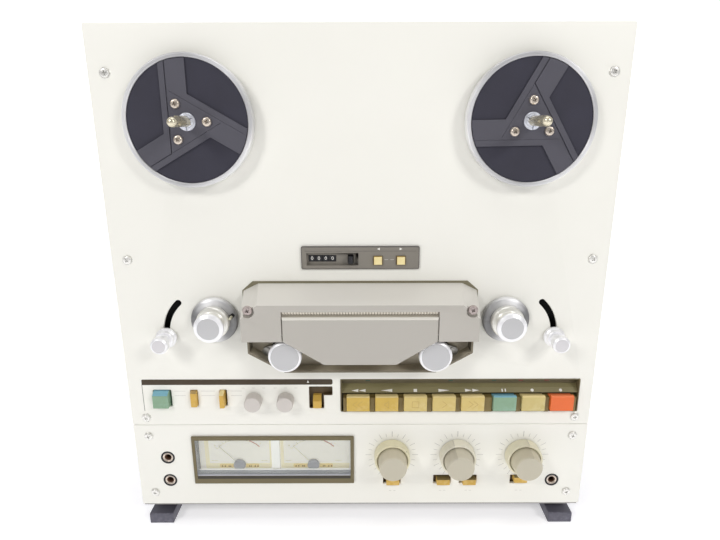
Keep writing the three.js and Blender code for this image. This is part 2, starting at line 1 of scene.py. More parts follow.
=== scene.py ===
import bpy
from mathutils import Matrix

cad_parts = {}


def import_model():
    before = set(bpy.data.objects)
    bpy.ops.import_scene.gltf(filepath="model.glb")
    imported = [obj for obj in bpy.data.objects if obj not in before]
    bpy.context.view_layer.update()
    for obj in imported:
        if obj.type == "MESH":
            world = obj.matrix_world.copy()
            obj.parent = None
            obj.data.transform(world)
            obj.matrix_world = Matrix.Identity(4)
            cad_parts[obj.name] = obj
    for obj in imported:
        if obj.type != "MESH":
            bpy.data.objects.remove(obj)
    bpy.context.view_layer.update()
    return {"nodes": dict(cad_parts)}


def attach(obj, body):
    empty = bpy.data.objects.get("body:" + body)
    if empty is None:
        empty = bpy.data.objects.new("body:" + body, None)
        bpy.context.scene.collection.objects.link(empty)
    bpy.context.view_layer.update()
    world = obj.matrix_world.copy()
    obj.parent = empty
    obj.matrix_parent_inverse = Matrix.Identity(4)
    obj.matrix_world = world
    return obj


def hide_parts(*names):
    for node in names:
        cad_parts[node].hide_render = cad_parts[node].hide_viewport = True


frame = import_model()

import math
import random
import bpy
import bmesh
from mathutils import Matrix, Vector

random.seed(11)
scene = bpy.context.scene
MM = 0.001
FACE_Y, FOOT = -77.5, 23.0
ROT = Matrix.Rotation(math.radians(90), 4, "X")
SIDES = (("left", -1), ("right", 1))


def world(x, z, h):
    return Vector((x, FACE_Y - h, z + FOOT)) * MM


# ---------------------------------------------------------------- materials
def lin(r, g, b):
    def f(c):
        c = c / 255.0
        return c / 12.92 if c <= 0.04045 else ((c + 0.055) / 1.055) ** 2.4
    return (f(r), f(g), f(b))


def material(name, rgb, rough=0.5, metal=0.0, var=0.05, blotch=22.0, rvar=0.07, grain=1400.0, bump=0.05,
             dist=0.00005, wear=0.0, wear_rgb=None, coat=0.0, turned=0.0, brushed=None, sub=0.0, spec=None,
             dirt_and_crease_shade=0.0, glow=0.0, aniso=0.0, index=None, painted_reflection_sectors=None):
    m = bpy.data.materials.new(name)
    m.use_nodes = True
    nt = m.node_tree
    new = nt.nodes.new
    link = nt.links.new
    b = nt.nodes["Principled BSDF"]
    b.inputs["Metallic"].default_value = metal
    if coat:
        b.inputs["Coat Weight"].default_value = coat
        b.inputs["Coat Roughness"].default_value = 0.12
    if spec is not None:
        b.inputs["Specular IOR Level"].default_value = spec
    if sub:
        b.inputs["Subsurface Weight"].default_value = sub
        b.inputs["Subsurface Radius"].default_value = (0.002, 0.0015, 0.001)
        b.inputs["Subsurface Scale"].default_value = 0.3
    tc = new("ShaderNodeTexCoord")
    if aniso:
        tan = new("ShaderNodeTangent")
        tan.direction_type = "RADIAL"
        tan.axis = "Z"
        link(tan.outputs["Tangent"], b.inputs["Tangent"])
        b.inputs["Anisotropic"].default_value = aniso
    # self-light: on the meter and recess parts it is painted light; on the backdrop paper it keeps the floor evenly
    # bright
    if glow:
        b.inputs["Emission Color"].default_value = (*lin(*rgb), 1)
        b.inputs["Emission Strength"].default_value = glow
    base = lin(*rgb)
    dark = tuple(c * (1 - var) for c in base)
    light = tuple(min(1.0, c * (1 + var)) for c in base)

    n1 = new("ShaderNodeTexNoise")
    n1.inputs["Scale"].default_value = blotch
    n1.inputs["Detail"].default_value = 4
    link(tc.outputs["Object"], n1.inputs["Vector"])
    ramp = new("ShaderNodeMapRange")
    ramp.inputs["From Min"].default_value = 0.3
    ramp.inputs["From Max"].default_value = 0.7
    link(n1.outputs["Fac"], ramp.inputs["Value"])
    mix = new("ShaderNodeMix")
    mix.data_type = "RGBA"
    mix.inputs[6].default_value = (*dark, 1)
    mix.inputs[7].default_value = (*light, 1)
    link(ramp.outputs["Result"], mix.inputs[0])
    colour = mix.outputs[2]

    if index is not None:
        # painted shade: the surface is a little darker just past the index and fades back round the knob, standing in
        # for the flank turned away from the light
        turn = new("ShaderNodeMapping")
        turn.inputs["Rotation"].default_value = (0, 0, math.radians(180 - index))
        link(tc.outputs["Object"], turn.inputs["Vector"])
        round_ = new("ShaderNodeTexGradient")
        round_.gradient_type = "RADIAL"
        link(turn.outputs["Vector"], round_.inputs["Vector"])
        fade = new("ShaderNodeMapRange")
        fade.inputs["From Min"].default_value = 0.0
        fade.inputs["From Max"].default_value = 0.30
        fade.inputs["To Min"].default_value = 0.36
        fade.inputs["To Max"].default_value = 0.0
        link(round_.outputs["Fac"], fade.inputs["Value"])
        step = new("ShaderNodeMix")
        step.data_type = "RGBA"
        link(fade.outputs["Result"], step.inputs[0])
        link(colour, step.inputs[6])
        step.inputs[7].default_value = (base[0] * 0.50, base[1] * 0.48, base[2] * 0.46, 1)
        colour = step.outputs[2]

    if painted_reflection_sectors:
        # painted reflection: tones that turn with the angle, standing in for the bright and dark reflections on a
        # turned face: (degrees from the right, tone)
        sweep = new("ShaderNodeTexGradient")
        sweep.gradient_type = "RADIAL"
        link(tc.outputs["Object"], sweep.inputs["Vector"])
        tone = new("ShaderNodeValToRGB")
        stops = sorted((((a + 180) % 360) / 360, t) for a, t in painted_reflection_sectors)
        while len(tone.color_ramp.elements) < len(stops):
            tone.color_ramp.elements.new(0.5)
        for e, (p, t) in zip(tone.color_ramp.elements, stops):
            e.position = p
            e.color = (*lin(t, t, t), 1)
        link(sweep.outputs["Fac"], tone.inputs["Fac"])
        by = new("ShaderNodeMix")
        by.data_type = "RGBA"
        by.blend_type = "MULTIPLY"
        by.inputs[0].default_value = 1.0
        link(colour, by.inputs[6])
        link(tone.outputs["Color"], by.inputs[7])
        colour = by.outputs[2]

    if wear or dirt_and_crease_shade:
        geo = new("ShaderNodeNewGeometry")
        n3 = new("ShaderNodeTexNoise")
        n3.inputs["Scale"].default_value = 260
        n3.inputs["Detail"].default_value = 5
        link(tc.outputs["Object"], n3.inputs["Vector"])
    if wear:
        edge = new("ShaderNodeMapRange")
        edge.inputs["From Min"].default_value = 0.53
        edge.inputs["From Max"].default_value = 0.60
        link(geo.outputs["Pointiness"], edge.inputs["Value"])
        spots = new("ShaderNodeMapRange")
        spots.inputs["From Min"].default_value = 0.42
        spots.inputs["From Max"].default_value = 0.62
        link(n3.outputs["Fac"], spots.inputs["Value"])
        mul = new("ShaderNodeMath")
        mul.operation = "MULTIPLY"
        link(edge.outputs["Result"], mul.inputs[0])
        link(spots.outputs["Result"], mul.inputs[1])
        amount = new("ShaderNodeMath")
        amount.operation = "MULTIPLY"
        amount.inputs[1].default_value = wear
        link(mul.outputs[0], amount.inputs[0])
        worn = new("ShaderNodeMix")
        worn.data_type = "RGBA"
        link(amount.outputs[0], worn.inputs[0])
        link(colour, worn.inputs[6])
        w = lin(*wear_rgb) if wear_rgb else tuple(min(1.0, c * 1.5 + 0.03) for c in base)
        worn.inputs[7].default_value = (*w, 1)
        colour = worn.outputs[2]
    # darkens concave creases found by pointiness: painted crease shade, mixed with soiling
    if dirt_and_crease_shade:
        low = new("ShaderNodeMapRange")
        low.inputs["From Min"].default_value = 0.49
        low.inputs["From Max"].default_value = 0.44
        link(geo.outputs["Pointiness"], low.inputs["Value"])
        amt = new("ShaderNodeMath")
        amt.operation = "MULTIPLY"
        amt.inputs[1].default_value = dirt_and_crease_shade
        link(low.outputs["Result"], amt.inputs[0])
        crease_shade_mix = new("ShaderNodeMix")
        crease_shade_mix.data_type = "RGBA"
        link(amt.outputs[0], crease_shade_mix.inputs[0])
        link(colour, crease_shade_mix.inputs[6])
        crease_shade_mix.inputs[7].default_value = (*(c * 0.35 for c in base), 1)
        colour = crease_shade_mix.outputs[2]
    link(colour, b.inputs["Base Color"])

    # fine surface: grain for roughness and bump
    vec = tc.outputs["Object"]
    if turned:
        sep = new("ShaderNodeSeparateXYZ")
        link(vec, sep.inputs[0])
        flat = new("ShaderNodeCombineXYZ")
        link(sep.outputs["X"], flat.inputs["X"])
        link(sep.outputs["Y"], flat.inputs["Y"])
        rad = new("ShaderNodeVectorMath")
        rad.operation = "LENGTH"
        link(flat.outputs[0], rad.inputs[0])
        depth = new("ShaderNodeCombineXYZ")
        link(rad.outputs["Value"], depth.inputs["X"])
        link(sep.outputs["Z"], depth.inputs["Z"])
        vec = depth.outputs[0]
    elif brushed:
        mp = new("ShaderNodeMapping")
        mp.inputs["Scale"].default_value = brushed
        link(vec, mp.inputs["Vector"])
        vec = mp.outputs[0]
    n2 = new("ShaderNodeTexNoise")
    n2.inputs["Scale"].default_value = grain
    n2.inputs["Detail"].default_value = 3
    link(vec, n2.inputs["Vector"])
    rr = new("ShaderNodeMapRange")
    rr.inputs["From Min"].default_value = 0.25
    rr.inputs["From Max"].default_value = 0.75
    rr.inputs["To Min"].default_value = max(0.03, rough - rvar)
    rr.inputs["To Max"].default_value = min(1.0, rough + rvar)
    both = new("ShaderNodeMix")
    both.data_type = "FLOAT"
    both.inputs[0].default_value = 0.5
    link(n1.outputs["Fac"], both.inputs[2])
    link(n2.outputs["Fac"], both.inputs[3])
    link(both.outputs[0], rr.inputs["Value"])
    link(rr.outputs["Result"], b.inputs["Roughness"])
    bp = new("ShaderNodeBump")
    bp.inputs["Strength"].default_value = bump
    bp.inputs["Distance"].default_value = dist
    link(n2.outputs["Fac"], bp.inputs["Height"])
    link(bp.outputs["Normal"], b.inputs["Normal"])
    return m


# painted reflection tones of the guide flanges, by angle
PAINTED_REFLECTION_TONES = [(179.9, 128), (165, 118), (152, 140), (138, 186), (124, 214), (110, 252), (96, 246), (76, 236), (60, 200),
           (44, 178), (28, 164), (10, 142), (-12, 130), (-34, 128), (-52, 142), (-66, 186), (-84, 226), (-110, 222),
           (-140, 204), (-160, 160), (-179.9, 128)]
M = {
    "panel": material("cream_panel_paint", (241, 240, 232), 0.42, var=0.010, blotch=7, rvar=0.06, grain=1900,
                      bump=0.10),
    "case": material("case_paint", (116, 111, 104), 0.55, var=0.05, blotch=10, grain=2600, bump=0.35,
                     dist=0.00012, wear=0.5, wear_rgb=(150, 146, 140)),
    "rear": material("rear_board", (42, 41, 42), 0.62, var=0.08, grain=2200, bump=0.3, dist=0.0001, wear=0.3),
    "zinc": material("zinc_plate", (158, 156, 150), 0.38, 0.9, var=0.10, blotch=60, rvar=0.12, grain=700, bump=0.08),
    "alu": material("turned_aluminium", (222, 223, 226), 0.26, 1.0, var=0.03, rvar=0.09, grain=2600, bump=0.22,
                    dist=0.00003, turned=1, wear=0.2, wear_rgb=(240, 240, 240)),
    "alu_flange": material("turned_flange", (232, 232, 236), 0.26, 1.0, var=0.02, rvar=0.05, grain=2200,
                           bump=0.12, dist=0.00002, turned=1, aniso=0.75),
    "flange_left": material("flange_left_painted_reflection", (252, 252, 254), 0.36, 0.45, var=0.02, rvar=0.05, grain=2200, bump=0.06,
                            dist=0.00002, painted_reflection_sectors=PAINTED_REFLECTION_TONES),
    "flange_right": material("flange_right_painted_reflection", (252, 252, 254), 0.36, 0.45, var=0.02, rvar=0.05, grain=2200,
                             bump=0.06, dist=0.00002, painted_reflection_sectors=[(180 - a, t) for a, t in PAINTED_REFLECTION_TONES]),
    "alu_drum": material("turned_drum", (240, 239, 233), 0.34, 0.55, var=0.02, rvar=0.04, grain=2200, bump=0.03,
                         dist=0.00002, turned=1),
    "cap_light": material("tension_cap_face", (216, 214, 216), 0.52, 0.35, var=0.02, rvar=0.06, grain=3000, bump=0.16,
                          dist=0.00003, turned=1),
    "alu_bright": material("polished_aluminium", (240, 240, 243), 0.24, 0.85, var=0.02, rvar=0.05, grain=2200,
                           bump=0.10, dist=0.00002, turned=1),
    "alu_white": material("satin_white_rim", (250, 250, 252), 0.34, 0.35, var=0.008, rvar=0.05, grain=2200,
                          bump=0.08, dist=0.00002, turned=1),
    "alu_satin": material("satin_cap_face", (197, 197, 198), 0.52, 0.45, var=0.02, rvar=0.06, grain=3000, bump=0.16,
                          dist=0.00003, turned=1),
    # the reel rim's angle tones are painted highlights and reflections
    "rim": material("reel_rim_aluminium", (250, 250, 252), 0.34, 0.55, var=0.02, rvar=0.08, grain=1900, bump=0.12,
                    dist=0.00004, turned=1, painted_reflection_sectors=[(90, 202), (128, 214), (165, 248), (192, 250), (222, 222),
                                                     (262, 204), (300, 240), (335, 250), (356, 218), (18, 214),
                                                     (48, 246), (70, 220)]),
    "mat": material("reel_mat_floor", (50, 49, 61), 0.78, var=0.10, blotch=55, grain=2600, bump=0.45, dist=0.00012,
                    dirt_and_crease_shade=0.4),
    "mat_top": material("reel_mat_arms", (78, 77, 86), 0.68, var=0.06, blotch=45, grain=2600, bump=0.30,
                        dist=0.00008, dirt_and_crease_shade=0.3),
    "hub": material("hub_casting", (222, 225, 234), 0.30, 0.6, var=0.05, blotch=120, grain=1500, bump=0.2, turned=1),
    "brass": material("spindle_plate", (222, 214, 190), 0.30, 0.75, var=0.10, blotch=160, rvar=0.12, grain=1700,
                      bump=0.25, wear=0.5, wear_rgb=(245, 242, 230), dirt_and_crease_shade=0.4),
    # the screws' high crease darkening is mostly painted shade in their recesses
    "screw": material("nickel_screw", (236, 235, 230), 0.30, 0.6, var=0.06, blotch=500, rvar=0.1, grain=2200,
                      bump=0.15, dirt_and_crease_shade=0.8),
    "screw_warm": material("reel_screw", (216, 204, 190), 0.30, 0.8, var=0.12, blotch=500, rvar=0.1, grain=2200,
                           bump=0.15, dirt_and_crease_shade=0.85, wear=0.4, wear_rgb=(240, 234, 224)),
    "screw_dark": material("dark_screw", (176, 164, 160), 0.38, 0.6, var=0.2, blotch=500, grain=2200, bump=0.15,
                           dirt_and_crease_shade=0.8, wear=0.4, wear_rgb=(200, 190, 186)),
    # the housing paint is kept darker for the front, and a lighter copy goes on the up-facing slope: painted light from
    # above
    "housing": material("head_housing_paint", (184, 180, 172), 0.42, 0.05, var=0.012, blotch=16, rvar=0.06, grain=2300,
                        bump=0.14),
    "housing_slope_painted_light": material("head_housing_slope", (219, 216, 209), 0.40, 0.05, var=0.012, blotch=16, rvar=0.06, grain=2300,
                              bump=0.14),
    # lighter copy of the cover paint for the flap's up-facing top chamfer: a painted highlight
    "flap_top_painted_highlight": material("head_cover_edge", (226, 223, 214), 0.38, 0.05, var=0.012, blotch=14, rvar=0.05, grain=2300,
                          bump=0.12),
    "flap": material("head_cover_paint", (181, 177, 169), 0.40, 0.08, var=0.012, blotch=14, rvar=0.05, grain=2300,
                     bump=0.12),
    # the ribs and the wall behind them are made pale and given glow: painted light lifting a recess that lies in shade
    "rib": material("ribbed_recess", (236, 230, 217), 0.5, 0.0, var=0.03, grain=2300, bump=0.16, glow=0.10),
    "rib_gap": material("recess_wall_painted_light", (178, 171, 158), 0.6, 0.0, var=0.05, grain=2300, bump=0.16, glow=0.34),
    "tray": material("tray_plastic", (122, 114, 96), 0.6, var=0.05, blotch=28, grain=1900, bump=0.3, dist=0.0001),
    # dark olive for the thin sheet round the housing's back edge: the seam line with painted contact shade
    "lip": material("housing_lip", (122, 116, 92), 0.55, var=0.05, blotch=30, grain=2100, bump=0.2),
    "bay": material("bay_plastic", (110, 100, 70), 0.52, var=0.05, blotch=30, grain=2100, bump=0.25, dist=0.00008),
    # lighter copy of the bay plastic for the sloped strip: painted light
    "bay_slope": material("bay_slope_lit_plastic", (136, 128, 90), 0.5, var=0.04, blotch=30, grain=2100, bump=0.25,
                          dist=0.00008),
    "counter": material("counter_plastic", (130, 125, 116), 0.5, 0.0, var=0.03, blotch=40, grain=2300, bump=0.25),
    "black": material("black_plastic", (24, 23, 28), 0.45, var=0.15, grain=2100, bump=0.2, wear=0.25,
                      wear_rgb=(70, 70, 74)),
    "void": material("unlit_inside", (14, 13, 13), 0.8, var=0.2, grain=1500, bump=0.1),
    "foot": material("foot_plastic", (89, 88, 100), 0.5, var=0.06, blotch=40, grain=1500, bump=0.35, dist=0.00012,
                     wear=0.5, wear_rgb=(122, 120, 134)),
    "ochre": material("ochre_keys", (206, 173, 78), 0.46, var=0.03, blotch=70, rvar=0.06, grain=2100, bump=0.18,
                      wear=0.3, wear_rgb=(228, 208, 150)),
    "ochre_pale": material("pale_ochre_keys", (210, 187, 115), 0.46, var=0.03, blotch=70, rvar=0.06, grain=2100,
                           bump=0.18, wear=0.3, wear_rgb=(232, 218, 170)),
    "ochre_deep": material("ochre_levers", (206, 166, 72), 0.46, var=0.05, blotch=90, rvar=0.06, grain=2100,
                           bump=0.18, wear=0.3, wear_rgb=(230, 208, 144)),
    # darker copy of the lever ochre for a top facet: painted shade
    "ochre_lever_facet_shade": material("ochre_lever_tops", (178, 148, 92), 0.46, var=0.05, blotch=90, rvar=0.06, grain=2100,
                          bump=0.18),
    # lighter top-facet copy of the key ochre: a painted highlight
    "ochre_facet_highlight": material("ochre_key_tops", (236, 216, 154), 0.46, var=0.03, blotch=90, rvar=0.06, grain=2100,
                           bump=0.18),
    # darker olive copy of the switch ochre for the tops: painted shade from the slot above
    "switch_facet_shade": material("switch_tops", (124, 108, 66), 0.5, var=0.05, blotch=90, rvar=0.06, grain=2100, bump=0.18),
    "ochre_line": material("ochre_engraving", (184, 152, 84), 0.5, var=0.05, grain=2100, bump=0.1),
    "teal": material("teal_keys", (133, 165, 136), 0.44, var=0.03, blotch=70, rvar=0.06, grain=2100, bump=0.18,
                     wear=0.3, wear_rgb=(160, 196, 180)),
    # light blue top-facet copy of the teal: a painted sky reflection
    "teal_facet_highlight": material("teal_key_tops", (126, 180, 196), 0.40, var=0.03, blotch=70, rvar=0.06, grain=2100,
                          bump=0.18),
    "khaki": material("khaki_keys", (203, 185, 120), 0.46, var=0.03, blotch=70, rvar=0.06, grain=2100, bump=0.18,
                      wear=0.3, wear_rgb=(230, 220, 180)),
    "orange": material("orange_key", (230, 108, 46), 0.42, var=0.03, blotch=70, rvar=0.06, grain=2100, bump=0.15),
    # lighter top-facet copy of the orange: a painted highlight
    "orange_facet_highlight": material("orange_key_top", (255, 138, 86), 0.40, var=0.03, blotch=70, rvar=0.06, grain=2100,
                            bump=0.15),
    "cream_button": material("cream_buttons", (240, 222, 160), 0.44, var=0.04, blotch=90, grain=2100, bump=0.15,
                             wear=0.4, wear_rgb=(250, 242, 206)),
    # darker gold copy of the button cream for the sides: painted shade
    "cream_side_shade": material("cream_button_sides", (206, 170, 92), 0.44, var=0.04, blotch=90, grain=2100, bump=0.15),
    "knob": material("knob_plastic", (194, 188, 169), 0.5, var=0.015, blotch=60, rvar=0.05, grain=2500, bump=0.2),
    # the index= sectors on these knob sides and rings are painted shade beside the index
    "knob_mic": material("knob_side_mic", (208, 201, 180), 0.5, var=0.015, blotch=60, grain=2500, bump=0.2, index=240),
    "knob_line": material("knob_side_line", (210, 204, 186), 0.5, var=0.015, blotch=60, grain=2500, bump=0.2,
                          index=106),
    "knob_output": material("knob_side_output", (206, 199, 176), 0.5, var=0.015, blotch=60, grain=2500, bump=0.2,
                            index=73),
    "ring_mic": material("knob_ring_mic", (230, 224, 192), 0.5, var=0.02, blotch=60, rvar=0.05, grain=2500,
                         bump=0.2),
    "ring_line": material("knob_ring_line", (231, 227, 209), 0.5, var=0.02, blotch=60, rvar=0.05, grain=2500,
                          bump=0.2, index=106),
    "ring_output": material("knob_ring_output", (229, 224, 198), 0.5, var=0.02, blotch=60, rvar=0.05, grain=2500,
                            bump=0.2, index=80),
    "knob_grey": material("grey_knobs", (206, 200, 194), 0.5, var=0.02, blotch=60, grain=2500, bump=0.2),
    "rubber": material("pinch_rubber", (38, 36, 36), 0.72, var=0.12, grain=1600, bump=0.3, wear=0.3),
    "steel": material("ground_steel", (196, 196, 198), 0.22, 1.0, var=0.05, rvar=0.08, grain=2600, bump=0.12,
                      turned=1),
    "motor": material("motor_can", (96, 97, 101), 0.42, 0.8, var=0.08, blotch=30, grain=900, bump=0.12, wear=0.3),
    "head": material("head_shields", (150, 150, 154), 0.3, 0.9, var=0.08, blotch=90, grain=900,
                     brushed=(1.0, 12.0, 1.0), bump=0.15, wear=0.3),
    "print_brown": material("brown_print", (60, 46, 24), 0.5, var=0.04, blotch=60, grain=1800, bump=0.1),
    "print_grey": material("grey_print", (190, 188, 182), 0.5, var=0.04, grain=1800, bump=0.05),
    "print_scale": material("scale_print", (158, 156, 154), 0.5, var=0.04, grain=1800, bump=0.05),
    "print_dark": material("dark_print", (92, 88, 84), 0.5, var=0.08, grain=1800, bump=0.05),
    "print_white": material("white_print", (245, 243, 236), 0.5, var=0.03, grain=1800, bump=0.05),
    "print_red": material("red_print", (240, 194, 186), 0.5, var=0.05, grain=1800, bump=0.05),
    "divider": material("bay_divider_plastic", (126, 109, 62), 0.5, var=0.05, blotch=60, grain=2100, bump=0.2),
    # much lighter copy of the tray plastic for its up-facing inner floors: painted light into the shaded tray
    "tray_floor_painted_light": material("tray_floor_plastic", (208, 198, 176), 0.6, var=0.05, blotch=28, grain=1900, bump=0.3,
                           dist=0.0001),
    "groove": material("meter_groove", (60, 55, 45), 0.6, var=0.05, grain=1800, bump=0.08),
    "needle_hub": material("needle_hub", (196, 196, 200), 0.4, var=0.03, blotch=60, grain=2000, bump=0.12),
    # grey strip under the panel's bottom edge: painted shade
    "flange": material("under_edge_painted_shade", (150, 148, 146), 0.5, 0.0, var=0.03, blotch=40, grain=2000, bump=0.1),
    "needle": material("needle_grey", (198, 198, 196), 0.5, var=0.05, grain=1800, bump=0.05),
    # the dial cards, their edges, the meter lip and the white divider glow with no lamp placed: painted light
    "dial": material("dial_card", (254, 250, 238), 0.7, var=0.01, blotch=30, grain=1700, bump=0.1, glow=0.22),
    "dial_edge": material("dial_card_edge", (248, 238, 206), 0.7, var=0.02, blotch=60, grain=1700, bump=0.1,
                          glow=0.22),
    "dial_foot": material("dial_card_foot", (244, 222, 160), 0.7, var=0.05, blotch=120, grain=1700, bump=0.1,
                          glow=0.18),
    "meter_grey": material("meter_walls", (160, 162, 168), 0.40, 0.0, var=0.03, blotch=30, grain=2000, bump=0.15),
    "meter_lip": material("meter_lip", (198, 200, 208), 0.50, 0.0, var=0.02, blotch=30, grain=2000, bump=0.06,
                          glow=0.04),
    "meter_white": material("meter_divider", (250, 249, 243), 0.35, var=0.01, blotch=30, grain=2000, bump=0.1,
                            glow=0.34),
    "amber": material("amber_mark", (150, 112, 52), 0.4, var=0.15, blotch=200, grain=1700, bump=0.1),
    "jack": material("jack_nickel", (226, 212, 198), 0.28, 0.7, var=0.08, blotch=200, grain=1500, bump=0.15, turned=1,
                     dirt_and_crease_shade=0.4),
    "jack_bore": material("jack_bore", (84, 56, 38), 0.5, var=0.15, blotch=200, grain=1500, bump=0.15),
    "ivory": material("ivory_pin", (224, 220, 196), 0.4, var=0.05, blotch=200, grain=1800, bump=0.1, wear=0.3),
    "lamp_green": material("green_lens", (52, 96, 78), 0.25, var=0.15, blotch=300, grain=1500, bump=0.1),
    "lamp_red": material("red_lens", (150, 50, 56), 0.25, var=0.15, blotch=300, grain=1500, bump=0.1),
    "well": material("well_brown", (84, 66, 38), 0.55, var=0.06, blotch=60, grain=1900, bump=0.2),
    "red_ring": material("red_socket_ring", (170, 44, 40), 0.4, var=0.08, grain=1800, bump=0.1),
    "white_ring": material("white_socket_ring", (220, 218, 210), 0.4, var=0.04, grain=1800, bump=0.1),
}

glass = bpy.data.materials.new("meter_glass")
glass.use_nodes = True
_nt = glass.node_tree
_nt.nodes.remove(_nt.nodes["Principled BSDF"])
_tr = _nt.nodes.new("ShaderNodeBsdfTransparent")
_tr.inputs["Color"].default_value = (0.97, 0.98, 0.98, 1)
_gl = _nt.nodes.new("ShaderNodeBsdfGlossy")
_gl.inputs["Color"].default_value = (1, 1, 1, 1)
_fr = _nt.nodes.new("ShaderNodeFresnel")
_fr.inputs["IOR"].default_value = 1.35
_ms = _nt.nodes.new("ShaderNodeMixShader")
_tc = _nt.nodes.new("ShaderNodeTexCoord")
_nz = _nt.nodes.new("ShaderNodeTexNoise")
_nz.inputs["Scale"].default_value = 60
_mr = _nt.nodes.new("ShaderNodeMapRange")
_mr.inputs["To Min"].default_value = 0.06
_mr.inputs["To Max"].default_value = 0.12
_nt.links.new(_tc.outputs["Object"], _nz.inputs["Vector"])
_nt.links.new(_nz.outputs["Fac"], _mr.inputs["Value"])
_nt.links.new(_mr.outputs["Result"], _gl.inputs["Roughness"])
_nt.links.new(_fr.outputs["Fac"], _ms.inputs[0])
_nt.links.new(_tr.outputs[0], _ms.inputs[1])
_nt.links.new(_gl.outputs[0], _ms.inputs[2])
_nt.links.new(_ms.outputs[0], _nt.nodes["Material Output"].inputs["Surface"])
M["glass"] = glass


# ------------------------------------------------------------------ builders
def fillet(points, radius, n=4, closed=True):
    """Rounds the corners of a polygon of 2D points."""
    out = []
    count = len(points)
    for i, p in enumerate(points):
        p = Vector(p[:2])
        if not closed and i in (0, count - 1):
            out.append(tuple(p))
            continue
        a, b = Vector(points[i - 1][:2]), Vector(points[(i + 1) % count][:2])
        r = radius
        if isinstance(radius, (list, tuple)):
            r = radius[i]
        d1, d2 = a - p, b - p
        l1, l2 = d1.length, d2.length
        if r <= 0 or l1 < 1e-6 or l2 < 1e-6:
            out.append(tuple(p))
            continue
        d1, d2 = d1 / l1, d2 / l2
        ang = math.acos(max(-1, min(1, d1.dot(d2))))
        if ang > math.radians(165):
            out.append(tuple(p))
            continue
        t = min(r / math.tan(ang / 2), 0.45 * l1, 0.45 * l2)
        s, e = p + d1 * t, p + d2 * t
        for k in range(n + 1):
            u = k / n
            q = s * (1 - u) ** 2 + p * 2 * u * (1 - u) + e * u ** 2
            out.append(tuple(q))
    return out


def rect(x0, x1, z0, z1, r=0.0, n=4):
    pts = [(x0, z0), (x1, z0), (x1, z1), (x0, z1)]
    return fillet(pts, r, n) if r else pts


def circle(x, z, r, n=48):
    return [(x + r * math.cos(2 * math.pi * i / n), z + r * math.sin(2 * math.pi * i / n)) for i in range(n)]


def flip(points, s):
    return points if s < 0 else [(-x, z) for x, z in points][::-1]


def put(name, mesh, mats, body, at=(0, 0), node=None, bevel=0.0, segs=2, angle=30, matrix=None):
    ob = bpy.data.objects.new(name, mesh)
    scene.collection.objects.link(ob)
    for m in (mats if isinstance(mats, (list, tuple)) else [mats]):
        mesh.materials.append(m)
    for p in mesh.polygons:
        p.use_smooth = True
    if bevel:
        mod = ob.modifiers.new("edge", "BEVEL")
        mod.width = bevel * MM
        mod.segments = segs
        mod.limit_method = "ANGLE"
        mod.angle_limit = math.radians(angle)
        mod.harden_normals = True
    else:
        mesh.set_sharp_from_angle(angle=math.radians(angle))
    ob.matrix_world = matrix if matrix is not None else Matrix.Translation(world(at[0], at[1], 0)) @ ROT
    if node:
        for n in (node if isinstance(node, (list, tuple)) else [node]):
            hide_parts(n)
    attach(ob, body)
    return ob


def to_mesh(bm, name="mesh"):
    bmesh.ops.recalc_face_normals(bm, faces=bm.faces)
    me = bpy.data.meshes.new(name)
    bm.to_mesh(me)
    bm.free()
    return me


def lathe_bm(bm, profile, segs=96, cx=0.0, cz=0.0, mat=0):
    """Turns a profile of (r, h) in mm about the panel's normal through (cx, cz)."""
    pts = [(r, h) for r, h in profile]
    closed = pts[0][0] > 1e-6 and pts[-1][0] > 1e-6
    if closed and (abs(pts[0][0] - pts[-1][0]) + abs(pts[0][1] - pts[-1][1])) < 1e-6:
        pts = pts[:-1]
    rings = []
    for r, h in pts:
        if r < 1e-6:
            rings.append([bm.verts.new(Vector((cx, cz, h)) * MM)])
        else:
            rings.append([bm.verts.new(Vector((cx + r * math.cos(2 * math.pi * i / segs),
                                               cz + r * math.sin(2 * math.pi * i / segs), h)) * MM)
                          for i in range(segs)])
    pairs = list(zip(rings, rings[1:]))
    if closed:
        pairs.append((rings[-1], rings[0]))
    for a, b in pairs:
        if len(a) == 1 and len(b) == 1:
            continue
        for i in range(segs):
            j = (i + 1) % segs
            if len(a) == 1:
                f = bm.faces.new((a[0], b[i], b[j]))
            elif len(b) == 1:
                f = bm.faces.new((a[i], a[j], b[0]))
            else:
                f = bm.faces.new((a[i], a[j], b[j], b[i]))
            f.material_index = mat
    return bm


def lathe(profile, segs=96, r=0.0, n=3):
    """Mesh of a turned piece; r rounds the profile's corners."""
    axis = profile[0][0] < 1e-6 or profile[-1][0] < 1e-6
    pts = fillet(profile, r, n, closed=not axis) if r else profile
    bm = bmesh.new()
    lathe_bm(bm, pts, segs)
    return to_mesh(bm)


def prism_bm(bm, points, h0, h1, mat=0):
    lo = [bm.verts.new(Vector((x, z, h0)) * MM) for x, z in points]
    hi = [bm.verts.new(Vector((x, z, h1)) * MM) for x, z in points]
    faces = [bm.faces.new(lo[::-1]), bm.faces.new(hi)]
    for i in range(len(points)):
        j = (i + 1) % len(points)
        faces.append(bm.faces.new((lo[i], lo[j], hi[j], hi[i])))
    for f in faces:
        f.material_index = mat
    return bm


def prism(points, h0, h1):
    bm = bmesh.new()
    prism_bm(bm, points, h0, h1)
    return to_mesh(bm)


def prisms(list_of, h0=None, h1=None):
    bm = bmesh.new()
    for item in list_of:
        if h0 is None:
            prism_bm(bm, *item)
        else:
            prism_bm(bm, item, h0, h1)
    return to_mesh(bm)


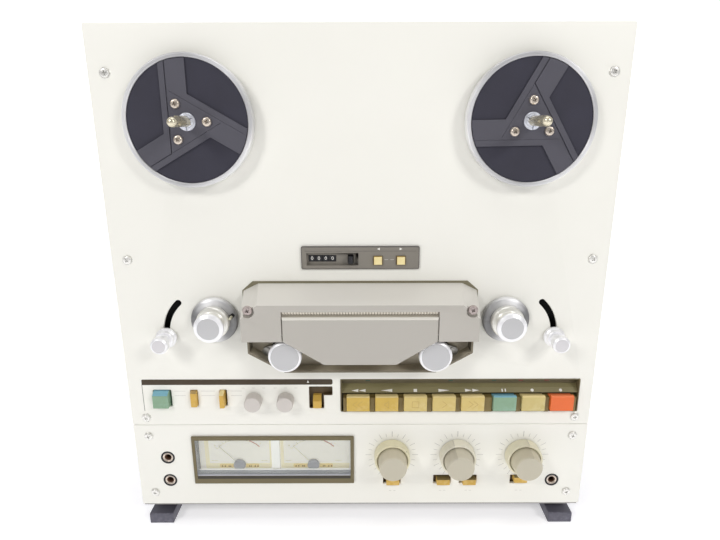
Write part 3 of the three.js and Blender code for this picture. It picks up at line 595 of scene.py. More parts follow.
def side_bm(bm, points, x0, x1):
    """Polygon of (h, z), pushed out along x."""
    a = [bm.verts.new(Vector((x0, z, h)) * MM) for h, z in points]
    b = [bm.verts.new(Vector((x1, z, h)) * MM) for h, z in points]
    bm.faces.new(a[::-1])
    bm.faces.new(b)
    for i in range(len(points)):
        j = (i + 1) % len(points)
        bm.faces.new((a[i], a[j], b[j], b[i]))
    return bm


def side(points, x0, x1):
    bm = bmesh.new()
    side_bm(bm, points, x0, x1)
    return to_mesh(bm)


def evaluated(ob):
    dg = bpy.context.evaluated_depsgraph_get()
    dg.update()
    return bpy.data.meshes.new_from_object(ob.evaluated_get(dg))


def plate(outlines, h0, h1, bevel=0.3, res=2):
    """Plate with holes: the first outline is the edge, the rest are holes."""
    cu = bpy.data.curves.new("plate", "CURVE")
    cu.dimensions = "2D"
    cu.fill_mode = "BOTH"
    cu.extrude = max(1e-6, ((h1 - h0) / 2 - bevel) * MM)
    cu.bevel_depth = bevel * MM
    cu.bevel_resolution = res
    cu.offset = -bevel * MM
    for poly in outlines:
        sp = cu.splines.new("POLY")
        sp.points.add(len(poly) - 1)
        for p, (x, z) in zip(sp.points, poly):
            p.co = (x * MM, z * MM, 0, 1)
        sp.use_cyclic_u = True
    ob = bpy.data.objects.new("plate", cu)
    scene.collection.objects.link(ob)
    me = evaluated(ob)
    bpy.data.objects.remove(ob)
    bpy.data.curves.remove(cu)
    me.transform(Matrix.Translation((0, 0, (h0 + h1) / 2 * MM)))
    bm = bmesh.new()
    bm.from_mesh(me)
    bmesh.ops.remove_doubles(bm, verts=bm.verts, dist=2e-6)
    bpy.data.meshes.remove(me)
    return to_mesh(bm)


def paint(me, test, index):
    """Gives the faces whose centre (mm) and normal pass the test another of the piece's materials."""
    for p in me.polygons:
        if test(p.center / MM, p.normal):
            p.material_index = index
    return me


def cad_mesh(node):
    """Clean copy of a CAD node's solid, its flat faces made whole again, in the pieces' own axes."""
    bm = bmesh.new()
    bm.from_mesh(frame["nodes"][node].data)
    bmesh.ops.remove_doubles(bm, verts=bm.verts, dist=2e-6)
    bmesh.ops.dissolve_limit(bm, angle_limit=math.radians(1.0), verts=bm.verts, edges=bm.edges)
    bmesh.ops.transform(bm, matrix=(Matrix.Translation(world(0, 0, 0)) @ ROT).inverted(), verts=bm.verts)
    return to_mesh(bm)


def cad_piece(name, node, mats, body, bevel, segs=2, angle=30):
    return put(name, cad_mesh(node), mats, body, node=node, bevel=bevel, segs=segs, angle=angle)


def carve(mesh, cutter, op="DIFFERENCE"):
    a = bpy.data.objects.new("carve_a", mesh)
    b = bpy.data.objects.new("carve_b", cutter)
    scene.collection.objects.link(a)
    scene.collection.objects.link(b)
    mod = a.modifiers.new("cut", "BOOLEAN")
    mod.operation = op
    mod.solver = "EXACT"
    mod.object = b
    out = evaluated(a)
    bpy.data.objects.remove(a)
    bpy.data.objects.remove(b)
    out.materials.clear()
    return out


def text_mesh(s, size, depth=0.05):
    cu = bpy.data.curves.new("t", "FONT")
    cu.body = s
    cu.size = size * MM
    cu.extrude = depth / 2 * MM
    cu.align_x = "CENTER"
    cu.align_y = "CENTER"
    cu.resolution_u = 3
    ob = bpy.data.objects.new("t", cu)
    scene.collection.objects.link(ob)
    me = evaluated(ob)
    bpy.data.objects.remove(ob)
    bpy.data.curves.remove(cu)
    bm = bmesh.new()
    bm.from_mesh(me)
    bmesh.ops.remove_doubles(bm, verts=bm.verts, dist=1e-6)
    bpy.data.meshes.remove(me)
    return to_mesh(bm)


def joined(meshes):
    """One mesh of several (mesh, x, z, h, turn in degrees)."""
    bm = bmesh.new()
    for me, x, z, h, turn in meshes:
        part = bmesh.new()
        part.from_mesh(me)
        bmesh.ops.transform(part, verts=part.verts,
                            matrix=Matrix.Translation(Vector((x, z, h)) * MM) @ Matrix.Rotation(math.radians(turn), 4, "Z"))
        tmp = bpy.data.meshes.new("tmp")
        part.to_mesh(tmp)
        part.free()
        bm.from_mesh(tmp)
        bpy.data.meshes.remove(tmp)
    me = bpy.data.meshes.new("joined")
    bm.to_mesh(me)
    bm.free()
    return me


def screw_mesh(r, height, cross=0.62, segs=40):
    """Pan-head cross-recess screw head standing on h = 0."""
    prof = [(0, -0.6), (r * 0.92, -0.6), (r * 0.92, 0), (r, 0.05), (r, height * 0.42)]
    for k in range(1, 7):
        a = math.radians(90 * k / 7)
        prof.append((r * (0.55 + 0.45 * math.cos(a)), height * (0.42 + 0.58 * math.sin(a))))
    prof.append((0, height))
    me = lathe(prof, segs)
    w, d = r * 0.15, height * 0.75
    bm = bmesh.new()
    for pts in ([(-r * cross, -w), (r * cross, -w), (r * cross, w), (-r * cross, w)],):
        lo = [(-r * cross * 0.45, -w * 0.6), (r * cross * 0.45, -w * 0.6), (r * cross * 0.45, w * 0.6),
              (-r * cross * 0.45, w * 0.6)]
        a = [bm.verts.new(Vector((x, z, height - d)) * MM) for x, z in lo]
        b = [bm.verts.new(Vector((x, z, height + 1)) * MM) for x, z in pts]
        bm.faces.new(a[::-1])
        bm.faces.new(b)
        for i in range(4):
            bm.faces.new((a[i], a[(i + 1) % 4], b[(i + 1) % 4], b[i]))
    bar = to_mesh(bm)
    me = carve(me, bar)
    bar2 = bpy.data.meshes.new("bar2")
    bm = bmesh.new()
    for pts in ([(-w, -r * cross), (w, -r * cross), (w, r * cross), (-w, r * cross)],):
        lo = [(-w * 0.6, -r * cross * 0.45), (w * 0.6, -r * cross * 0.45), (w * 0.6, r * cross * 0.45),
              (-w * 0.6, r * cross * 0.45)]
        a = [bm.verts.new(Vector((x, z, height - d)) * MM) for x, z in lo]
        b = [bm.verts.new(Vector((x, z, height + 1)) * MM) for x, z in pts]
        bm.faces.new(a[::-1])
        bm.faces.new(b)
        for i in range(4):
            bm.faces.new((a[i], a[(i + 1) % 4], b[(i + 1) % 4], b[i]))
    bmesh.ops.recalc_face_normals(bm, faces=bm.faces)
    bm.to_mesh(bar2)
    bm.free()
    return carve(me, bar2)


def screws(name, mesh, places, mat, body, turns=None):
    """Several copies of one screw as one piece: places are (x, z, h)."""
    items = []
    for i, (x, z, h) in enumerate(places):
        items.append((mesh, x, z, h, (turns[i] if turns else random.uniform(0, 90))))
    return put(name, joined(items), mat, body, angle=40)


# --------------------------------------------------------------- dimensions
REEL_X, REEL_Z = 136.7, 365.3
GUIDE_X, GUIDE_Z = 129.5, 195
ARM_X, ARM_Z, ARM_R, ARM_REST, ARM_END = 135.5, 181.1, 39.04, 4.8, 47.7
CAP_X, CAP_Z, CAP_TIP = 65.8, 190.2, 23.4
PINCH_X, PINCH_Z, PINCH_PX, PINCH_PZ = 64.9, 170, 84, 166
KNOB_X, KNOB_Z = [30.2, 92.9, 155.8], 55
SMALL_X, SMALL_Z = [-99.5, -69.7], 114.3
KEY_X, KEY_W = [-12.9, 13.7, 40.3, 66.9, 93.5, 123.1, 149.7, 176.3], 21.5
SWITCH_X, SWITCH_UP = [30.5, 79.6, 104.9, 154.6], [0, 0, 0, 2.4]
JACKS = [(-186.3, 52.3), (-186.3, 27), (187, 26.4)]
METER_X, METER_Z = [-119, -46.3], 39.4
DIVIDERS = [(-16, -13.3), (9, 13.3), (35.6, 39.9), (62.2, 66.5), (88.8, 93.1), (115.4, 122.7), (145, 149.3),
            (171.6, 175.9), (198.2, 201)]
SEAM = 87.9
CUE = [(-47.8, 105.5), (-34.2, 105.5), (-34.2, 118.9), (-26.1, 118.9), (-26.1, 127.6), (-47.8, 127.6)]
BAY = (-18.6, 204, 101.6, 135)


def arc_slot(cx, cz, radius, half, a0, a1, steps=28):
    rad = math.radians
    out = []
    for i in range(steps + 1):
        a = rad(a0 + (a1 - a0) * i / steps)
        out.append((cx + (radius + half) * math.cos(a), cz + (radius + half) * math.sin(a)))
    sign = 1 if a1 > a0 else -1
    for angle, start in ((a1, a1), (None, None)):
        if angle is None:
            break
        px, pz = cx + radius * math.cos(rad(angle)), cz + radius * math.sin(rad(angle))
        for i in range(1, 10):
            t = rad(start + 180 * i / 10 * sign)
            out.append((px + half * math.cos(t), pz + half * math.sin(t)))
    for i in range(steps, -1, -1):
        a = rad(a0 + (a1 - a0) * i / steps)
        out.append((cx + (radius - half) * math.cos(a), cz + (radius - half) * math.sin(a)))
    px, pz = cx + radius * math.cos(rad(a0)), cz + radius * math.sin(rad(a0))
    for i in range(1, 10):
        t = rad(a0 + 180 + 180 * i / 10 * sign)
        out.append((px + half * math.cos(t), pz + half * math.sin(t)))
    return out


# ------------------------------------------------------------- front panels
holes = []
for _, s in SIDES:
    holes.append(circle(s * REEL_X, REEL_Z, 12))
    holes.append(circle(s * GUIDE_X, GUIDE_Z, 7.6))
    holes.append(circle(s * CAP_X, CAP_Z, 7))
    holes.append(circle(s * PINCH_PX, PINCH_PZ, 3.3, 24))
    holes.append(flip(arc_slot(-ARM_X, ARM_Z, ARM_R, 2.8, 180 + ARM_REST + 0.7, 180 - ARM_END), s))
holes.append(rect(-48.3, 49.3, 243.2, 259.8))
holes.append(rect(-193.4, -176.4, 107.4, 124.6, 0.7))
holes.append(rect(-158.6, -151.8, 107.8, 124.5, 0.6))
holes.append(rect(-131.3, -124.6, 107.8, 124.6, 0.6))
for x in SMALL_X:
    holes.append(circle(x, SMALL_Z, 3.4, 24))
holes.append(fillet(CUE, 0.8))
holes.append(rect(*BAY[:2], *BAY[2:], 0.8))
put("transport_panel_plate", plate([rect(-216, 216, SEAM + 0.15, 439.8, 1.6, 6)] + holes, -3, 0, 0.5, 3),
    M["panel"], "body", node="transport_panel", angle=35)
holes = [circle(x, z, 6.6) for x, z in JACKS]
holes.append(rect(-160.8, -7.9, 25.6, 74))
holes += [circle(x, KNOB_Z, 5, 32) for x in KNOB_X]
holes += [rect(x - 8.5, x + 8.5, 22.6, 32, 0.4) for x in SWITCH_X]
put("amplifier_panel_plate", plate([rect(-216, 216, 0, SEAM - 0.15, 1.6, 6)] + holes, -3, 0, 0.5, 3),
    M["panel"], "body", node="amplifier_panel", angle=35)

pan = screw_mesh(3.7, 1.5)
places = [(s * 202.2, z, 0.25) for s in (-1, 1) for z in (402.98, 249.49, 95.82, 75.8, 13.32)]
screws("panel_screws", pan, places, M["screw"], "body",
       [12, 40, 65, 20, 80, 33, 58, 5, 71, 27])
put("panel_screw_cups", joined([(lathe([(3.75, -0.5), (4.5, -0.5), (4.5, 0.12), (4.3, 0.25), (3.9, 0.1), (3.75, -0.2)],
    48), x, z, 0, 0) for x, z, _ in places]), M["screw"], "body")

# ------------------------------------------------------------- case and feet
cad_piece("case_sleeve", "cabinet_shell", M["case"], "body", 0.7, 3)
cad_piece("rear_board", "rear_cover", M["rear"], "body", 0.35, 2)
for name, _ in SIDES:
    cad_piece("skid_foot_" + name, "foot_" + name, M["foot"], "body", 1.0, 3, angle=12)


def on_side(s, y, z, turn=0.0):
    """Frame with its third axis out of the case's side, at depth y and height z in mm."""
    r = Matrix.Rotation(math.radians(90 * s), 4, "Y")
    return Matrix.Translation(Vector((s * 215, y, z)) * MM) @ r @ Matrix.Rotation(math.radians(turn), 4, "Z")


case_screw = screw_mesh(3.6, 1.0)
for name, s in SIDES:
    for k, (y, z) in enumerate([(-50, 60), (100, 60), (-50, 400), (100, 400)]):
        put(f"case_screw_{name}_{k + 1}", case_screw.copy(), M["screw_dark"], "body",
            matrix=on_side(s, y, z, 17 + 31 * k), angle=40)

REAR = Matrix.Rotation(math.radians(180), 4, "Z")


def on_rear(x, z, h=0.0, turn=0.0):
    """Frame with its third axis out of the rear board."""
    return (Matrix.Translation(Vector((x, FACE_Y + 202 + h, z + FOOT)) * MM) @ REAR @ ROT
            @ Matrix.Rotation(math.radians(turn), 4, "Z"))


k = 0
for x in (-204, 0, 204):
    for z in (10, 220, 430):
        if (x, z) != (0, 220):
            k += 1
            put(f"rear_screw_{k}", screw_mesh(3.2, 1.2).copy() if k == 1 else bpy.data.objects["rear_screw_1"].data.copy(),
                M["screw_dark"] if k == 1 else [], "body", matrix=on_rear(x, z, 0, 23 * k), angle=40)
for i, (x, z) in enumerate([(60, 64), (84, 64), (60, 40), (84, 40), (120, 64), (120, 40)]):
    ring = M["red_ring"] if x == 60 else M["white_ring"] if x == 84 else M["black"]
    put(f"rear_socket_ring_{i + 1}", lathe([(4.3, -1), (6.2, -1), (6.2, 0.9), (5.8, 1.2), (4.3, 1.2)], 40, 0.2), ring,
        "body", matrix=on_rear(x, z))
    put(f"rear_socket_shell_{i + 1}", lathe([(1.9, -0.5), (4.15, -0.5), (4.15, 3.0), (3.85, 3.3), (2.5, 3.3),
                                             (2.5, 0.4), (1.9, 0.4)], 40, 0.12), M["jack"], "body",
        matrix=on_rear(x, z))
put("cord_gland", lathe([(4.6, -2), (8.5, -2), (8.5, 2.5), (7.8, 3.2), (5.2, 3.2), (4.6, 2.8)], 48, 0.4), M["black"],
    "body", matrix=on_rear(-158, 44))

# --------------------------------------------------- chassis, motors, drives
HOLE = [rect(-212, 212, 141, 436.5, 1)]
for _, s in SIDES:
    HOLE += [circle(s * REEL_X, REEL_Z, 9.2), circle(s * ARM_X, ARM_Z, 3.2, 24), circle(s * CAP_X, CAP_Z, 3.3, 24),
             circle(s * PINCH_PX, PINCH_PZ, 3.2, 24)]
HOLE.append(rect(-52, 52, 241.5, 261.5, 1))
put("chassis_sheet", plate(HOLE, -12, -9.5, 0.2, 1), M["void"], "body", node="chassis_plate")
for name, s in SIDES:
    put("guide_flange_" + name, lathe([(0, -9.4), (6.9, -9.4), (6.9, 0.4), (20.3, 0.4), (20.8, 0.9), (20.8, 4.3),
        (20.0, 5.6), (18.0, 6.4), (2.5, 6.4), (2.5, 22), (0, 22)], 128, 0.25), M["flange_" + name], "body",
        at=(s * GUIDE_X, GUIDE_Z), node="chassis_plate")
    put("capstan_bearing_" + name, lathe([(3.35, -15.3), (6.5, -15.3), (6.5, 7.4), (5.9, 8), (3.8, 8), (3.35, 7.6)],
        64, 0.15), M["brass"], "body", at=(s * CAP_X, CAP_Z), node="chassis_plate")
    cad_piece("reel_motor_can_" + name, "reel_motor_" + name, M["motor"], "body", 0.6, 3, angle=40)
    put("capstan_shaft_" + name, lathe([(0, -38), (4.6, -38), (5, -37.6), (5, -34), (38.4, -34), (39, -33.4),
        (39, -28), (38.2, -27.4), (38.2, -25.4), (39, -24.8), (39, -19.6), (37.4, -18), (3, -18), (3, CAP_TIP - 0.5),
        (2.6, CAP_TIP), (0, CAP_TIP)], 96, 0.2), M["steel"], "capstan_" + name, at=(s * CAP_X, CAP_Z),
        node="capstan_" + name)
cad_piece("capstan_motor_can", "capstan_motor", M["motor"], "body", 0.5, 2, angle=40)

# ---------------------------------------------------------------- reel tables
TURN = {"left": 0.0, "right": -29.0}
R_TOP = 47.7


def arm_outline():
    """Outline of the three raised arms, clockwise, for arms at 90, 210 and 330 degrees."""
    out = []
    for k in range(3):
        a = math.radians(-120 * k)
        rot = lambda p: (p[0] * math.cos(a) - p[1] * math.sin(a), p[0] * math.sin(a) + p[1] * math.cos(a))
        x0, x1 = -19.1, 1.6
        a0, a1 = math.acos(x0 / R_TOP), math.acos(x1 / R_TOP)
        for i in range(13):
            t = a0 + (a1 - a0) * i / 12
            out.append(rot((R_TOP * math.cos(t), R_TOP * math.sin(t))))
        out.append(rot((1.6, (19.1 - 0.5 * 1.6) / 0.8660254)))
    return out[::-1]


def groove(points, half):
    """Thin polygon along a polyline."""
    left, right = [], []
    for i, p in enumerate(points):
        p = Vector(p)
        d = Vector((0, 0))
        if i > 0:
            d += (p - Vector(points[i - 1])).normalized()
        if i < len(points) - 1:
            d += (Vector(points[i + 1]) - p).normalized()
        d.normalize()
        n = Vector((-d.y, d.x))
        scale = 1.0
        if 0 < i < len(points) - 1:
            e = (p - Vector(points[i - 1])).normalized()
            scale = 1 / max(0.4, Vector((-e.y, e.x)).dot(n))
        left.append(tuple(p + n * half * scale))
        right.append(tuple(p - n * half * scale))
    return left + right[::-1]


def rotated(points, deg):
    a = math.radians(deg)
    return [(x * math.cos(a) - z * math.sin(a), x * math.sin(a) + z * math.cos(a)) for x, z in points]


LINE_G = [(-14.2, 49), (-14.2, -24.6)]
EXT_END = (-14.2 - 30 * 0.866 - 3, -24.6 - 15 - 1.7)
for name, s in SIDES:
    body = "reel_table_" + name
    at = (s * REEL_X, REEL_Z)
    put("reel_base_" + name, lathe([(0, -30), (4, -30), (4, -3.2), (10.9, -3.2), (10.9, 1.2), (48.1, 1.2), (48.1, 9.4),
        (0, 9.4)], 96, 0.15), M["alu"], body, at=at, node=body)
    put("reel_rim_" + name, lathe([(48.25, 1.2), (50.4, 1.0), (52, 2.3), (52, 10.9), (51.2, 12), (48.95, 12),
        (48.25, 11.3)], 160, 0.35, 4), M["rim"], body, at=at, node=body)
    put("reel_mat_floor_" + name, lathe([(4.5, 9.5), (48.2, 9.5), (48.2, 10.9), (47.9, 11.2), (47.6, 10.7),
        (4.5, 10.5)], 128, 0.05), M["mat"], body, at=at, node=body)
    arms = prism(arm_outline(), 10.0, 12.0)
    full = {"left": 0, "right": 2}[name]
    cuts = []
    for k in range(3):
        deg = 120 * k
        if k == full:
            path = rotated([(-14.2, 50), (-14.2, -24.6)], deg) + rotated([(-14.2 - 22.2, -24.6 - 12.8)], deg)
            cuts.append((groove(path, 0.42), 11.1, 13))
        else:
            path = rotated([(-14.2, 50 if k != (full + 1) % 3 else 24.6 - 1.6), (-14.2, -22.6)], deg)
            cuts.append((groove(path, 0.22), 11.75, 13))
    for item in cuts:
        arms = carve(arms, prisms([item]))
    arms.transform(Matrix.Rotation(math.radians(TURN[name]), 4, "Z"))
    put("reel_mat_arms_" + name, arms, M["mat_top"], body, at=at, node=body, bevel=0.16, segs=2, angle=35)
    hub = lathe([(0, 9.6), (7, 9.6), (7, 13.3), (6.5, 13.8), (5.2, 13.9), (4.6, 14.8), (4.2, 15), (0, 15)], 64, 0.15)
    slots = prisms([rotated([(2.0, -0.55), (8, -0.55), (8, 0.55), (2.0, 0.55)], 60 + 120 * q + 90) for q in range(3)],
                   12.9, 16)
    hub = carve(hub, slots)
    put("reel_hub_" + name, hub, M["hub"], body, at=at, node=body, angle=30)
    teeth = []
    for i in range(96):
        a = 2 * math.pi * i / 96
        r = 3.72 if (i % 4) in (1, 2) else 3.42
        teeth.append((r * math.cos(a), r * math.sin(a)))
    put("spindle_" + name, prism(teeth, 14.6, 46.2), M["brass"], body, at=at, node=body, angle=30)
    wings = prisms([(rotated([(2.5, -0.6), (4.35, -0.6), (4.6, -0.35), (4.6, 0.35), (4.35, 0.6), (2.5, 0.6)],
                             TURN[name] + 90 + 120 * q), 14.4, 40) for q in range(3)])
    put("spindle_wings_" + name, wings, M["brass"], body, at=at, node=body, angle=30)
    tip = [(0, 46.1), (3.75, 46.1), (3.75, 47.2)]
    for k in range(1, 9):
        a = math.radians(90 * k / 8)
        tip.append((3.75 * math.cos(a) if k < 8 else 0.0, 47.2 + 3.3 * math.sin(a)))
    put("spindle_tip_" + name, lathe(tip, 64), M["brass"], body, at=at, node=body)
    sm = screw_mesh(3.7, 2.4, 0.5)
    ang = [TURN[name] + 120 + 120 * q for q in range(3)]
    screws("reel_screws_" + name, sm, [(15.9 * math.cos(math.radians(a)), 15.9 * math.sin(math.radians(a)), 12.0)
                                       for a in ang], M["screw_warm"], body, [20, 50, 75]).matrix_world = \
        Matrix.Translation(world(at[0], at[1], 0)) @ ROT

# ------------------------------------------------------------------ tape path
for name, s in SIDES:
    rest = math.radians(ARM_REST)
    px, pz = s * (ARM_X + ARM_R * math.cos(rest)), ARM_Z - ARM_R * math.sin(rest)
    ax = s * ARM_X
    arm = "tension_arm_" + name
    d = Vector((px - ax, pz - ARM_Z)).normalized()
    n = Vector((-d.y, d.x))
    pts = [(ax + n.x * 4.2 - d.x * 3, ARM_Z + n.y * 4.2 - d.y * 3), (px + n.x * 3.3 + d.x * 2, pz + n.y * 3.3 + d.y * 2),
           (px - n.x * 3.3 + d.x * 2, pz - n.y * 3.3 + d.y * 2), (ax - n.x * 4.2 - d.x * 3, ARM_Z - n.y * 4.2 - d.y * 3)]
    put("tension_lever_" + name, prism(fillet(pts, 2.6, 5), -6.5, -4.5), M["zinc"], arm, node=arm, bevel=0.25)
    put("tension_pivot_" + name, lathe([(0, -13.5), (3, -13.5), (3, -7.5), (4.4, -7.5), (4.4, -3.8), (3.8, -3.6),
        (0, -3.6)], 48, 0.15), M["steel"], arm, at=(ax, ARM_Z), node=arm)
    put("tension_post_" + name, lathe([(0, -6.6), (2, -6.6), (2, 0.8), (8.7, 0.8), (9.3, 1.4), (9.3, 3.6), (8.9, 4.3),
        (7.8, 5.2), (7.4, 7.6), (7.0, 8), (1.6, 8), (1.6, 19.8), (0, 19.8)], 96, 0.2), M["alu_white"], arm, at=(px, pz),
        node=arm)
    rol = "tension_roller_" + name
    put("tension_drum_" + name, lathe([(1.9, 8.3), (5.4, 8.3), (5.6, 8.6), (5.6, 16.3), (7.4, 16.7), (7.7, 17.1),
        (7.7, 21.2), (7.4, 22.0), (6.0, 23.2), (5.7, 23.15), (5.7, 22.8), (0, 22.8), (0, 20.2), (1.9, 20.2)], 96, 0.12),
        M["alu_white"], rol, at=(px, pz), node=rol)
    put("tension_cap_face_" + name, lathe([(0, 22.4), (5.65, 22.4), (5.65, 23.1), (5.5, 23.22), (0, 23.22)], 72, 0.06),
        M["cap_light"], rol, at=(px, pz), node=rol)
    g = "guide_roller_" + name
    at = (s * GUIDE_X, GUIDE_Z)
    drum = lathe([(2.8, 6.8), (14.2, 6.8), (14.5, 7.2), (14.5, 11.3), (13.6, 12.3), (11.2, 12.5),
        (10.5, 13.0), (10.5, 21.4), (11.2, 22), (12.6, 22.1), (13, 22.6), (13, 24.0), (12.6, 24.6), (9.9, 26.1),
        (9.6, 26.1), (9.6, 25.8), (0, 25.8), (0, 22.6), (2.8, 22.6)], 128, 0.15)
    paint(drum, lambda c, n: c.z > 22.2 and c.xy.length > 9.4, 1)
    put("guide_drum_" + name, drum, [M["alu_drum"], M["alu_white"]], g, at=at, node=g)
    put("guide_cap_face_" + name, lathe([(0, 25.4), (9.5, 25.4), (9.5, 26.0), (9.3, 26.18), (0, 26.18)], 96, 0.08),
        M["alu_satin"], g, at=at, node=g)
    pin = "pinch_roller_" + name
    rx = s * PINCH_X
    put("pinch_rubber_" + name, lathe([(2.8, 6.7), (9.6, 6.7), (10, 7.1), (10, 8.9), (13.4, 9.1), (13.8, 9.5),
        (13.8, 23.6), (13.4, 24), (2.8, 24)], 96, 0.15), M["rubber"], pin, at=(rx, PINCH_Z), node=pin)
    put("pinch_cap_" + name, lathe([(0, 24.1), (13.9, 24.1), (14.4, 24.6), (14.4, 26.9), (13.9, 27.9), (12.5, 28.85),
        (12.2, 28.85), (12.2, 28.5), (0, 28.5)], 128, 0.2, 4), M["alu_white"], pin, at=(rx, PINCH_Z), node=pin)
    put("pinch_cap_face_" + name, lathe([(0, 28.0), (12.1, 28.0), (12.1, 28.7), (11.9, 28.9), (0, 28.9)], 96, 0.08),
        M["alu_satin"], pin, at=(rx, PINCH_Z), node=pin)
    cad_piece("pinch_lever_" + name, "pinch_arm_" + name, M["zinc"], "pinch_arm_" + name, 0.3, 2)

# sensing pin beside the left guide roller
bm = bmesh.new()
prism_bm(bm, fillet([(-118.6, 197.2), (-112.6, 203.0), (-110.2, 200.4), (-116.2, 194.6)], 1.2, 5), 6.2, 7.0)
put("sensor_slot", to_mesh(bm), M["void"], "body")
pin_me = lathe([(0, 6.4), (1.15, 6.4), (1.15, 12.6), (0.9, 13.3), (0.4, 13.6), (0, 13.65)], 32, 0.1)
put("sensor_pin", pin_me, M["ivory"], "body", at=(-113.6, 199.4))

# -------------------------------------------------------------- head assembly
# up-facing inner faces take the painted-light floor copy
put("tray_shell", paint(cad_mesh("head_tray"), lambda c, n: 2 < c.z < 14.5 and (n.z > 0.5 or n.y > 0.2), 1),
    [M["tray"], M["tray_floor_painted_light"]], "body", node="head_tray", bevel=0.35, segs=2)
# up-facing slope faces take the lighter painted-light copy of the housing paint
put("housing_shell", paint(cad_mesh("head_housing"), lambda c, n: n.y > 0.3 and n.z > 0.1 and c.z < 33.5, 1),
    [M["housing"], M["housing_slope_painted_light"]], "body", node="head_housing", bevel=0.55, segs=3, angle=22)
# thin dark olive sheet showing round the housing's back edge: the seam line with its painted contact shade
put("housing_lip", prism(fillet([(-104, 187), (104, 187), (104, 221.8), (94.5, 230.2), (-94.5, 230.2), (-104, 221.8)],
                                [0.5, 0.5, 1, 2, 2, 1], 4), 0.05, 0.38), M["lip"], "body", bevel=0.08)
# fins of the ventilated cove above the flap
fins = bmesh.new()
x = -64.9
while x < 64.0:
    side_bm(fins, [(26.5, 213.1), (31.9, 213.1), (31.9, 210.9), (29.8, 210.7), (28.4, 210.0), (27.2, 208.9), (26.5, 206.5)],
            x, x + 1.35)
    x += 2.42
# fins and wall glow a little: painted light in the shaded cove
put("recess_ribs", to_mesh(fins), M["rib"], "body", bevel=0.12, segs=1)
put("recess_wall", prism(rect(-65.8, 65.8, 205.4, 213.2), 26.7, 27.03), M["rib_gap"], "body")
hs = screw_mesh(4.2, 2.2, 0.5)
screws("housing_screws", hs, [(-93.8, 214, 31.0), (93.8, 214, 31.0)], M["screw_dark"], "body", [30, 62])

flap = [(-65.6, 208.2), (-65.6, 186.6), (-30.8, 165.2), (30.8, 165.2), (65.6, 186.6), (65.6, 208.2)]
body_f = fillet(flap[::-1], [0.5, 0.5, 1.2, 1.2, 1.2, 1.2][:6], 4)


def inset_loft(outline_lo, h_lo, outline_hi, h_hi, bm):
    lo = [bm.verts.new(Vector((x, z, h_lo)) * MM) for x, z in outline_lo]
    hi = [bm.verts.new(Vector((x, z, h_hi)) * MM) for x, z in outline_hi]
    for i in range(len(lo)):
        j = (i + 1) % len(lo)
        bm.faces.new((lo[i], lo[j], hi[j], hi[i]))
    return lo, hi


bm = bmesh.new()
outer = [(-65.6, 208.2), (-65.6, 186.6), (-30.8, 165.2), (30.8, 165.2), (65.6, 186.6), (65.6, 208.2)]
inner = [(-64.7, 206.1), (-64.7, 187.1), (-30.5, 165.8), (30.5, 165.8), (64.7, 187.1), (64.7, 206.1)]
lo, mid = inset_loft(outer, 31.0, outer, 32.9, bm)
hi = [bm.verts.new(Vector((x, z, 34.3)) * MM) for x, z in inner]
for i in range(6):
    j = (i + 1) % 6
    bm.faces.new((mid[i], mid[j], hi[j], hi[i]))
bm.faces.new(lo[::-1])
bm.faces.new(hi)
# the up-facing top chamfer takes the painted highlight material
put("head_flap", paint(to_mesh(bm), lambda c, n: n.y > 0.3 and c.z > 31.2, 1), [M["flap"], M["flap_top_painted_highlight"]], "head_cover",
    node="head_cover", bevel=0.3, segs=3, angle=12)
bm = bmesh.new()
for x0, x1 in ((-67.1, -63.6), (63.6, 67.1)):
    ring0, ring1 = [], []
    for i in range(24):
        a = 2 * math.pi * i / 24
        ring0.append(bm.verts.new(Vector((x0, 205.6 + 1.15 * math.sin(a), 30.6 + 1.15 * math.cos(a))) * MM))
        ring1.append(bm.verts.new(Vector((x1, 205.6 + 1.15 * math.sin(a), 30.6 + 1.15 * math.cos(a))) * MM))
    bm.faces.new(ring0)
    bm.faces.new(ring1[::-1])
    for i in range(24):
        bm.faces.new((ring0[i], ring0[(i + 1) % 24], ring1[(i + 1) % 24], ring1[i]))
put("flap_hinge_pins", to_mesh(bm), M["steel"], "head_cover", node="head_cover", bevel=0.15)
for k, x in enumerate((-55, 55)):
    put(f"flap_hinge_ear_{k + 1}", side(fillet([(29.2, 204.0), (31.2, 204.0), (31.2, 207.2), (29.2, 207.2)], 0.8, 4),
                                       x - 3, x + 3), M["flap"], "head_cover", bevel=0.2)
cad_piece("head_block_plate", "head_block", M["head"], "body", 0.35, 2)

# ---------------------------------------------------------------- tape counter
cad_piece("counter_frame", "counter_bezel", M["counter"], "body", 0.35, 2)
wheels = []
for i in range(4):
    x0 = -44.6 + i * 5.95
    wheels.append((rect(x0, x0 + 5.45, 247.3, 252.8, 0.2, 2), -5.5, -2.5))
put("counter_wheels", prisms(wheels), M["black"], "body", bevel=0.2)
put("counter_edge", plate([rect(-51.0, 51.4, 241.3, 261.5, 1.4, 5), rect(-50.3, 50.7, 242, 260.8, 1.0, 5)], 0.4, 1.86,
                          0.05, 1), M["print_dark"], "body")
put("counter_digits", joined([(text_mesh("0", 4.4, 0.06), -44.6 + i * 5.95 + 2.75, 250.0, -2.46, 0) for i in range(4)]),
    M["print_white"], "body")
put("counter_rule", prisms([rect(-47.5, 48.2, 257.2, 257.45)], 1.76, 1.86), M["print_dark"], "body")
put("timer_marks", prisms([[(14.7, 259.3), (17.0, 258.2), (17.0, 260.4)], [(34.1, 258.2), (34.1, 260.4), (36.4, 259.3)][::-1]],
                          1.78, 1.86), M["print_white"], "body")
put("timer_dashes", prisms([rect(21.2, 24.4, 249.6, 250.0), rect(26.2, 29.4, 249.6, 250.0)], 1.78, 1.86),
    M["print_grey"], "body")
